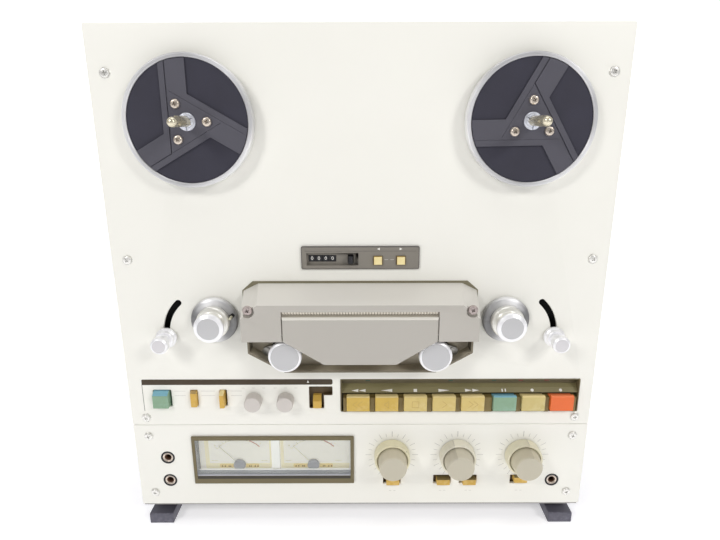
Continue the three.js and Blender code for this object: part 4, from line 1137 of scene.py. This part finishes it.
put("reset_key", side(fillet([(-9, 247), (-6, 246.2), (3.6, 246.2), (4, 246.8), (4, 252.4), (3.6, 253), (-6, 253),
    (-9, 252)], 0.5, 3), -10.2, -6.2), M["black"], "counter_reset", node="counter_reset", bevel=0.4)
for name, x in (("left", 11.95), ("right", 31.85)):
    cap = side([(-7, 245.6), (4, 245.6), (4, 252.0), (3.6, 252.6), (-7, 252.6)], x, x + 7.1)
    # the faces not looking forward take the painted side shade
    paint(cap, lambda c, n: n.z < 0.6, 1)
    put("timer_cap_" + name, cap, [M["cream_button"], M["cream_side_shade"]], "timer_button_" + name, node="timer_button_" + name, bevel=0.45, segs=3)

# --------------------------------------------------------------- control strip


def push(name, node, mats, x0, x1, z0, z1, front, facet, bevel=0.45):
    me = side([(-9, z0), (front, z0), (front, facet), (front * 0.2, z1), (-9, z1)], x0, x1)
    # up-facing facets take the cap's second material: a painted highlight on the power and speed caps, painted shade on
    # the reel switch cap
    paint(me, lambda c, n: n.y > 0.3, 1)
    put(name, me, mats, node, node=node, bevel=bevel, segs=3)


push("power_cap", "power_button", [M["teal"], M["teal_facet_highlight"]], -192.6, -178.2, 108.2, 124, 5.5, 121)
push("reel_switch_cap", "reel_switch", [M["ochre_deep"], M["ochre_lever_facet_shade"]], -157.9, -152.2, 108.5, 123.9, 3.8, 122.2,
     0.35)
push("speed_switch_cap", "speed_switch", [M["ochre_deep"], M["ochre_facet_highlight"]], -130.6, -126.3, 108.5, 124, 6, 121.4,
     0.35)
for x, node in zip(SMALL_X, ("auto_reverse_knob", "pitch_knob")):
    me = lathe([(0, -9), (3, -9), (3, 0.6), (7.9, 0.6), (7.9, 1.4), (7.7, 10.0), (7.1, 10.9), (0, 10.9)], 96, 0.3, 4)
    put(node + "_body", me, M["knob_grey"], node, at=(x, SMALL_Z), node=node)
put("cue_cap", side([(-5, 107.2), (3.9, 107.2), (3.9, 114.6), (-0.9, 118.6), (-5, 118.6)], -44.2, -36.4),
    M["ochre_deep"], "cue_lever", node="cue_lever", bevel=0.4, segs=3)
put("cue_slider", prism(rect(-49.5, -24.8, 98, 126, 0.6, 3), -5.9, -4.1), M["well"], "cue_lever", node="cue_lever",
    bevel=0.2)
put("cue_well", prism(rect(-51, -23.5, 103, 131, 0.6, 3), -8.2, -6.4), M["well"], "body", bevel=0.2)
put("cue_rim", plate([fillet([(x + (0.0), z) for x, z in CUE], 0.8), fillet([(-47.3, 106.0), (-34.7, 106.0), (-34.7, 119.4),
    (-26.6, 119.4), (-26.6, 127.35), (-47.3, 127.35)], 0.6)], -2.9, 0.12, 0.05, 1), M["well"], "body")

strip = fillet([(-203, 129.7), (-25.8, 129.7), (-25.8, 135.3), (-203, 135.3)], [0.3, 2.0, 2.0, 1.4], 5)
put("strip_print", prisms([strip], -0.05, 0.06), M["print_brown"], "body")
# a grey strip under the panel's bottom edge stands in for the shade beneath the deck: painted shade
put("under_edge_painted_shade", prism(rect(-215, 215, -2.3, -0.15, 0.3, 2), -3.2, -1.6), M["flange"], "body", bevel=0.2)
put("strip_rule", prisms([rect(-203.2, -202.75, 103, 130.2)], -0.05, 0.05), M["print_dark"], "body")
dashes = []
for x0, x1 in ((-173.5, -163), (-148.5, -135.5), (-121, -110.5)):
    for z in (118.7, 123.2):
        dashes.append(rect(x0, x1, z, z + 0.24))
for x in SMALL_X:
    for x0, x1 in ((-11, -8.2), (-1.4, 1.4), (8.2, 11)):
        dashes.append(rect(x + x0, x + x1, 126.2, 126.5))
put("strip_marks", prisms(dashes, -0.05, 0.05), M["print_grey"], "body")
put("strip_symbols", prisms([[(-49.6, 131.8), (-47.6, 131.8), (-48.6, 134.0)]], 0.0, 0.11), M["print_white"], "body")

# --------------------------------------------------------------------- key bay
X0, X1, Z0, Z1 = BAY
put("bay_back", plate([rect(X0 - 2, X1 + 2, Z0 - 2, Z1 + 2, 1)] + [circle(x + KEY_W / 2, 112, 2.5, 24) for x in KEY_X],
                      -10, -8, 0.1, 1), M["bay"], "body", node="control_bay")
put("bay_walls", plate([rect(X0 - 2, X1 + 2, Z0 - 2, Z1 + 2, 1), rect(X0 + 0.9, X1 - 0.9, Z0 + 0.7, Z1 - 0.7, 0.8)],
                       -8, -3.3, 0.05, 1), M["bay"], "body", node="control_bay")
put("bay_rim", plate([rect(X0 + 0.1, X1 - 0.1, Z0 + 0.1, Z1 - 0.1, 1.0), rect(X0 + 1.0, X1 - 1.0, Z0 + 0.7, Z1 - 0.8, 0.8)],
                     -3.4, 0.3, 0.12, 2), M["bay"], "body")
# the slope takes the lighter painted-light copy of the bay plastic
put("bay_slope", side([(-8.1, 120.5), (-1.05, 120.5), (-4.15, 123.65), (-4.15, 124.0), (-8.1, 127)], X0 + 0.9, X1 - 0.9),
    M["bay_slope"], "body", node="control_bay", bevel=0.2)
for k, (x0, x1) in enumerate(DIVIDERS):
    put(f"bay_divider_{k + 1}", side(fillet([(-8.1, 102.4), (2.6, 102.4), (2.6, 117.4), (-8.1, 117.4)], 0.6, 3), x0, x1),
        M["divider"], "body", node="control_bay", bevel=0.3)
bm = bmesh.new()


def on_slope(bm, pts, lift0=0.02, lift1=0.1):
    """Flat mark on the sloped strip: pts are (x, t), t from 0 at its foot to 1 at its head."""
    h0, z0, h1, z1 = -1.05, 120.5, -4.15, 123.65
    nrm = Vector((z1 - z0, -(h1 - h0))).normalized()      # (h, z)
    out = []
    for lift in (lift0, lift1):
        ring = []
        for x, t in pts:
            h = h0 + (h1 - h0) * t + nrm.x * lift
            z = z0 + (z1 - z0) * t + nrm.y * lift
            ring.append(bm.verts.new(Vector((x, z, h)) * MM))
        out.append(ring)
    bm.faces.new(out[0][::-1])
    bm.faces.new(out[1])
    for i in range(len(pts)):
        j = (i + 1) % len(pts)
        bm.faces.new((out[0][i], out[0][j], out[1][j], out[1][i]))


for k, kind in enumerate(("rew", "back", "stop", "play", "ffwd", "pause", "mute", "rec")):
    c = KEY_X[k] + KEY_W / 2 + 0.4
    lo_t, mid_t, hi_t = 0.18, 0.5, 0.82
    if kind == "rew":
        for o in (-3.4, 3.4):
            on_slope(bm, [(c + o - 3.2, mid_t), (c + o + 3.2, lo_t), (c + o + 3.2, hi_t)])
    elif kind == "back":
        on_slope(bm, [(c - 5.5, mid_t), (c + 5.0, lo_t), (c + 5.0, hi_t)])
    elif kind == "play":
        on_slope(bm, [(c + 5.5, mid_t), (c - 5.0, hi_t), (c - 5.0, lo_t)])
    elif kind == "ffwd":
        for o in (-3.4, 3.4):
            on_slope(bm, [(c + o + 3.2, mid_t), (c + o - 3.2, hi_t), (c + o - 3.2, lo_t)])
    elif kind == "stop":
        on_slope(bm, [(c - 1.6, lo_t), (c + 1.6, lo_t), (c + 1.6, hi_t), (c - 1.6, hi_t)])
    elif kind == "pause":
        for o in (-1.5, 1.5):
            on_slope(bm, [(c + o - 0.6, lo_t), (c + o + 0.6, lo_t), (c + o + 0.6, hi_t), (c + o - 0.6, hi_t)])
    elif kind == "mute":
        pts = [(c + 1.5 * math.cos(a), 0.5 + 0.33 * math.sin(a)) for a in [2 * math.pi * i / 16 for i in range(16)]]
        on_slope(bm, pts)
    elif kind == "rec":
        pts = [(c + 1.5 * math.cos(a), 0.5 + 0.33 * math.sin(a)) for a in [2 * math.pi * i / 16 for i in range(16)]]
        on_slope(bm, pts)
put("key_symbols", to_mesh(bm), M["print_white"], "body")
for k, (x, mat) in enumerate(((7, "lamp_green"), (85, "lamp_green"), (126, "lamp_green"), (151, "lamp_red"),
                              (175.5, "lamp_red"))):
    put(f"lamp_{k + 1}", prism(rect(x - 2.2, x + 2.2, 129.6, 131.6, 0.5, 3), -8.0, -7.2), M[mat], "body", bevel=0.2)

key_nodes = ["key_rewind", "key_play_reverse", "key_stop", "key_play", "key_fast_forward", "key_pause",
             "key_rec_mute", "key_record"]
key_mats = ["ochre"] * 2 + ["ochre_pale"] * 3 + ["teal", "khaki", "orange"]
# the keys' top facets take these lighter copies: painted highlights
key_facet_highlights = ["ochre_facet_highlight"] * 5 + ["teal_facet_highlight", "ochre_facet_highlight", "orange_facet_highlight"]
for k, (x, node, mat) in enumerate(zip(KEY_X, key_nodes, key_mats)):
    bm = bmesh.new()
    side_bm(bm, [(-5.4, 105), (6, 105), (6, 119.0), (4.9, 120.05), (2, 120.05), (2, 117.6), (-5.4, 117.6)], x, x + KEY_W)
    me = paint(to_mesh(bm), lambda c, n: n.y > 0.3, 1)
    put(node + "_cap", me, [M[mat], M[key_facet_highlights[k]]], node, node=node, bevel=0.55, segs=3, angle=40)
    put(node + "_stem", lathe([(0, -13), (2.1, -13), (2.1, -5), (0, -5)], 24, 0.1), M["black"], node,
        at=(x + KEY_W / 2, 112), node=node)
    c, zc, w = x + KEY_W / 2, 112.0, 0.17
    marks = []
    if k in (0, 1, 3, 4):
        d = -1 if k < 2 else 1
        offs = (-2.0, 2.6) if k in (0, 4) else (0.4,)
        for o in offs:
            tipx = c + d * (o + 2.4) if k in (0, 4) else c + d * 2.6
            backx = tipx - d * 4.4
            for sgn in (-1, 1):
                pts = [(tipx, zc), (backx, zc + sgn * 3.4)]
                marks.append(groove(pts, w))
            if k in (1,):
                marks.append(groove([(backx, zc - 3.4), (backx, zc + 3.4)], w))
    elif k == 2:
        for p, q in (((-3, -3), (3, -3)), ((3, -3), (3, 3)), ((3, 3), (-3, 3)), ((-3, 3), (-3, -3))):
            marks.append(groove([(c + p[0], zc + p[1]), (c + q[0], zc + q[1])], w))
    if marks:
        put(node + "_mark", prisms(marks, 5.95, 6.06), M["ochre_line"], node)

# ---------------------------------------------------------------------- meters
put("meter_frame", plate([rect(-161.7, -6.4, 24.2, 75.9, 0.9, 4), rect(-158.6, -9.6, 32.6, 71.8, 0.5, 3)], 0.3, 1.8,
                         0.25, 2), M["bay"], "body", node="meter_bezel")
put("meter_back", plate([rect(-160.4, -8.3, 26, 73.6, 1)] + [circle(x, METER_Z, 2.3, 24) for x in METER_X], -14, -8.5,
                        0.1, 1), M["bay"], "body", node="meter_bezel")
put("meter_walls", plate([rect(-160.2, -8.5, 26.2, 73.4, 1), rect(-158.4, -9.8, 31.8, 71.6, 0.5, 3)], -8.5, 1.2, 0.1,
                         1), M["meter_grey"], "body", node="meter_bezel")
put("meter_groove", prism(rect(-158.4, -9.8, 29.7, 32.7, 0.3, 2), 1.78, 1.87), M["groove"], "body")
put("meter_lip", side([(-8.3, 32.0), (1.2, 32.0), (1.2, 32.85), (-4.3, 35.15), (-5.2, 35.15), (-5.2, 33.2), (-8.3, 33.0)], -158.4, -9.8), M["meter_lip"], "body",
    node="meter_bezel", bevel=0.12)
# white glowing edge of the lip: a painted highlight
put("meter_lip_edge", prism(rect(-158.3, -9.9, 35.2, 36.1, 0.2, 2), -5.15, -4.3), M["meter_white"], "body", bevel=0.1)
put("meter_divider", prism(rect(-87.0, -79.2, 35.2, 71.6, 0.3, 2), -8.4, -6.6), M["meter_white"], "body", bevel=0.3)
for i, (cx, x0, x1) in enumerate(((METER_X[0], -158.2, -87.2), (METER_X[1], -79.0, -10.0))):
    tag = ("left", "right")[i]
    put("dial_card_" + tag, prism(rect(x0, x1, 32.2, 71.6, 0.3, 2), -8.5, -8.3), M["dial"], "body", bevel=0.05)
    sides = [rect(x0 + (5.5 if i == 0 else 0.6), x0 + (9.5 if i == 0 else 3.6), 36, 71)]
    if i == 0:
        sides.append(rect(x1 - 2.2, x1 - 0.4, 36, 71))
    put("dial_sides_" + tag, prisms(sides, -8.31, -8.27), M["dial_edge"], "body")
    put("dial_band_" + tag, prisms([rect(x0 + (6 if i == 0 else 1), x1 - 1, 34.6, 40.2, 0.5, 2)], -8.3, -8.26),
        M["dial_edge"], "body")
    # yellow patches low on each card: a painted pool of warm light
    glow_x = [(cx - 20, cx - 5.5), (cx + 5.5, cx + 19)]
    put("dial_foot_" + tag, prisms([rect(a, b, 35.4, 39.6, 1.6, 4) for a, b in glow_x], -8.27, -8.23), M["dial_foot"],
        "body")
    ticks, red = [], []
    for q, a in enumerate([51, 42, 34, 27, 20, 13, 6, -1, -8, -15, -22, -30, -38, -46]):
        t = math.radians(90 + a)
        r0, r1 = 27.2, (29.6 if q % 2 == 0 else 28.6)
        w = 0.14
        pts = [(cx + math.cos(t) * r + math.sin(t) * ws, METER_Z + math.sin(t) * r - math.cos(t) * ws)
               for r, ws in ((r0, -w), (r0, w), (r1, w), (r1, -w))]
        if pts[2][1] < 71.4:
            (red if a < -21 else ticks).append(pts[::-1])
    arc = [(cx + 27.1 * math.cos(math.radians(t)), METER_Z + 27.1 * math.sin(math.radians(t)))
           for t in range(141, 68, -3)]
    ticks.append(groove(arc, 0.12))
    arc = [(cx + 27.8 * math.cos(math.radians(t)), METER_Z + 27.8 * math.sin(math.radians(t)))
           for t in range(68, 43, -3)]
    red.append(groove(arc, 0.6))
    put("dial_scale_" + tag, prisms(ticks, -8.29, -8.22), M["print_grey"], "body")
    put("dial_red_" + tag, prisms(red, -8.29, -8.22), M["print_red"], "body")
    nums = []
    for label, a in (("20", 49), ("10", 33), ("7", 20), ("0", -22), ("3", -43)):
        t = math.radians(90 + a)
        nums.append((text_mesh(label, 2.0, 0.05), cx + 31.2 * math.cos(t), METER_Z + 31.2 * math.sin(t), -8.22, a * 0.8))
    put("dial_numbers_" + tag, joined([n for n in nums if n[2] < 70.2]), M["print_grey"], "body")
    # small faint figures below the scale's ends
    faint = [rect(cx - 28, cx - 21.5, 43.0, 43.35), rect(cx + 21, cx + 27.5, 43.0, 43.35)]
    put("dial_ends_" + tag, prisms(faint, -8.29, -8.22), M["print_grey"], "body")
    amber = []
    for o in (-17.5, -14.8, -11, -9.4, 9.4, 11, 14.8, 17.5):
        z = 36.6
        amber.append(fillet([(cx + o - 0.55, z - 0.5), (cx + o + 0.55, z - 0.5), (cx + o + 0.35, z + 1.0),
                             (cx + o - 0.35, z + 1.0)], 0.2, 3))
    put("dial_amber_" + tag, prisms(amber, -8.24, -8.14), M["amber"], "body")
    # needle and its hub
    node = "needle_" + tag
    put("needle_hub_" + tag, lathe([(0, -11.5), (2, -11.5), (2, -8.1), (5.6, -8.1), (5.9, -7.9), (5.9, -6.0),
        (5.4, -5.6), (0, -5.6)], 72, 0.2), M["needle_hub"], node, at=(cx, METER_Z), node=node)
    me = prism([(-0.2, 3), (0.2, 3), (0.11, 29), (-0.11, 29)], -6.9, -6.6)
    me.transform(Matrix.Rotation(math.radians(43), 4, "Z"))
    put("needle_blade_" + tag, me, M["needle"], node, at=(cx, METER_Z), node=node)
put("meter_window", prism(rect(-158.2, -10.0, 33.2, 71.5, 0.4, 2), -0.9, 0.1), M["glass"], "body", bevel=0.1)

# ----------------------------------------------------------------------- jacks
for k, (x, z) in enumerate(JACKS):
    put(f"jack_collar_{k + 1}", lathe([(5.05, -3.2), (6.55, -3.2), (6.55, 0.1), (6.35, 0.3), (5.3, 0.2),
        (5.05, -0.2)], 64, 0.12), M["black"], "body", at=(x, z), node="amplifier_panel")
    put(f"jack_bush_{k + 1}", lathe([(3.3, -19.5), (7.2, -19.5), (7.2, -3.3), (5.0, -3.3), (5.0, -0.4), (4.8, -0.1),
        (4.3, 0.1), (3.5, -0.4), (3.3, -1.0)], 64, 0.12), M["jack"], "body", at=(x, z), node="amplifier_panel")
    put(f"jack_sleeve_{k + 1}", lathe([(2.5, -19), (3.28, -19), (3.28, -1.2), (2.9, -1.2), (2.5, -1.8)], 40),
        M["jack_bore"], "body", at=(x, z))
    put(f"jack_end_{k + 1}", lathe([(0, -18.9), (2.45, -18.9), (2.45, -15.5), (0, -15.5)], 24), M["void"], "body",
        at=(x, z))

# --------------------------------------------------------------- level controls
names = ["mic", "line", "output"]
for i, (x, nm) in enumerate(zip(KNOB_X, names)):
    outer_n, inner_n = nm + "_knob_outer", nm + "_knob_inner"
    at = (x, KNOB_Z)
    put(outer_n + "_ring", lathe([(3.1, -9), (4.7, -9), (4.7, 0.6), (16.95, 0.6), (17, 1.2), (16.8, 10.0), (16.2, 11),
        (15.0, 11), (14.7, 10.7), (14.7, 8), (3.1, 8)], 128, 0.3, 4), M["ring_" + nm], outer_n, at=at, node=outer_n)
    body = lathe([(0, -13), (2.8, -13), (2.8, 8.4), (13.2, 8.4), (13.5, 8.8), (13.5, 11.5), (12.7, 22.8), (11.7, 24.2),
        (0, 24.2)], 128, 0.55, 5)
    # the side faces take the knob material with the painted shade sector
    paint(body, lambda c, n: n.z < 0.85, 1)
    put(inner_n + "_body", body, [M["knob"], M["knob_" + nm]], inner_n, at=at, node=inner_n)
    turn = {0: -52, 1: 16, 2: -17}[i]
    if i == 0:
        put(outer_n + "_index", prisms([rotated([(-0.5, 15.2), (0.5, 15.2), (0.5, 16.6), (-0.5, 16.6)], turn)],
                                       10.2, 10.9), M["print_dark"], outer_n, at=at)
    else:
        # a fine moulded line down the side of the ring and of the knob
        line = bmesh.new()
        side_bm(line, [(1.2, 16.8), (9.8, 16.8), (9.8, 16.95), (1.2, 17.0)], -0.16, 0.16)
        me = to_mesh(line)
        me.transform(Matrix.Rotation(math.radians(turn if i == 1 else turn + 7), 4, "Z"))
        put(outer_n + "_index", me, M["print_scale"], outer_n, at=at)
    # scale ticks on the panel
    ticks = []
    for q, a in enumerate(range(-150, 151, 15)):
        t = math.radians(90 - a)
        r0, r1 = 19.6, (25.4 if a % 30 == 0 else 23.4)
        w = 0.2 if a == 0 else 0.12
        ticks.append([(x + math.cos(t) * r - math.sin(t) * ws, KNOB_Z + math.sin(t) * r + math.cos(t) * ws)
                      for r, ws in ((r0, w), (r0, -w), (r1, -w), (r1, w))][::-1])
    put(nm + "_scale", prisms(ticks, -0.05, 0.05), M["print_scale"], "body")
switch_nodes = ["mic_att_switch", "line_switch_left", "line_switch_right", "monitor_switch"]
for x, up, node in zip(SWITCH_X, SWITCH_UP, switch_nodes):
    me = side([(-5, 23.3 + up), (4.1, 23.3 + up), (4.1, 29.2 + up), (-5, 29.2 + up)], x - 5.5, x + 7.2)
    # the top faces take the darker copy: painted shade inside the slot
    paint(me, lambda c, n: n.y > 0.5, 1)
    put(node + "_cap", me, [M["ochre_deep"], M["switch_facet_shade"]], node, node=node, bevel=0.35, segs=3)
    put(node + "_slider", prism(rect(x - 10.5, x + 10.5, 19.8 + up, 35 + up, 0.6, 3), -5.9, -3.9), M["well"], node,
        node=node, bevel=0.2)
marks = []
for x in SWITCH_X:
    for o in (-2.6, 1.6):
        marks.append(rect(x + o, x + o + 2.2, 14.4, 14.7))
put("switch_marks", prisms(marks, -0.05, 0.05), M["print_grey"], "body")

# ---------------------------------------------------------------------- stage
bm = bmesh.new()
prof = [(-3.0, 0.0)]
WALL_Y, BEND = 0.95, 0.22
for k in range(0, 13):
    a = math.radians(90 * k / 12)
    prof.append((WALL_Y - BEND + BEND * math.sin(a), BEND - BEND * math.cos(a)))
prof.append((WALL_Y, 3.2))
rows = [[bm.verts.new((xx, y, z)) for xx in (-4, 4)] for y, z in prof]
for a, b in zip(rows, rows[1:]):
    bm.faces.new((a[0], a[1], b[1], b[0]))
me = bpy.data.meshes.new("backdrop")
bm.to_mesh(me)
bm.free()
for p in me.polygons:
    p.use_smooth = True
backdrop = bpy.data.objects.new("backdrop", me)
scene.collection.objects.link(backdrop)
paper = material("white_paper", (248, 248, 250), 0.9, var=0.004, blotch=2.0, grain=300, bump=0.02, glow=0.45)
me.materials.append(paper)

w = bpy.data.worlds.new("studio")
scene.world = w
w.use_nodes = True
wn = w.node_tree
bg = wn.nodes["Background"]
bg.inputs["Color"].default_value = (1.0, 0.985, 0.975, 1)
bg.inputs["Strength"].default_value = 0.225


def area(name, loc, target, size, power, color=(1, 1, 1), sy=None):
    la = bpy.data.lights.new(name, "AREA")
    la.shape = "RECTANGLE"
    la.size = size
    la.size_y = sy or size
    la.energy = power
    la.color = color
    ob = bpy.data.objects.new(name, la)
    scene.collection.objects.link(ob)
    ob.location = loc
    ob.rotation_euler = (Vector(target) - Vector(loc)).to_track_quat("-Z", "Y").to_euler()
    return ob


area("key_left", (-0.95, -1.2, 1.15), (0, -0.08, 0.2), 0.38, 7.9, (1.0, 0.99, 0.985))
area("key_right", (1.0, -1.15, 1.1), (0, -0.08, 0.2), 0.38, 7.4, (1.0, 0.99, 0.985))
area("top", (0.0, -0.28, 1.6), (0, -0.1, 0.2), 0.9, 5.1, (1, 1, 1))

cam = bpy.data.cameras.new("camera")
cam.sensor_width = 36
cam.lens = 541.8 / 720 * 36
cam.clip_start = 0.01
co = bpy.data.objects.new("camera", cam)
scene.collection.objects.link(co)
co.location = (0.00004, -0.5337, 0.3898)
yaw, pitch, roll = math.radians(-0.013), math.radians(15.53), math.radians(-0.157)
fwd = Vector((math.sin(yaw) * math.cos(pitch), math.cos(yaw) * math.cos(pitch), -math.sin(pitch)))
base = fwd.to_track_quat("-Z", "Y").to_matrix().to_4x4()
co.matrix_world = Matrix.Translation(co.location) @ base @ Matrix.Rotation(roll, 4, "Z")
scene.camera = co
scene.view_settings.view_transform = "Standard"
scene.view_settings.look = "None"
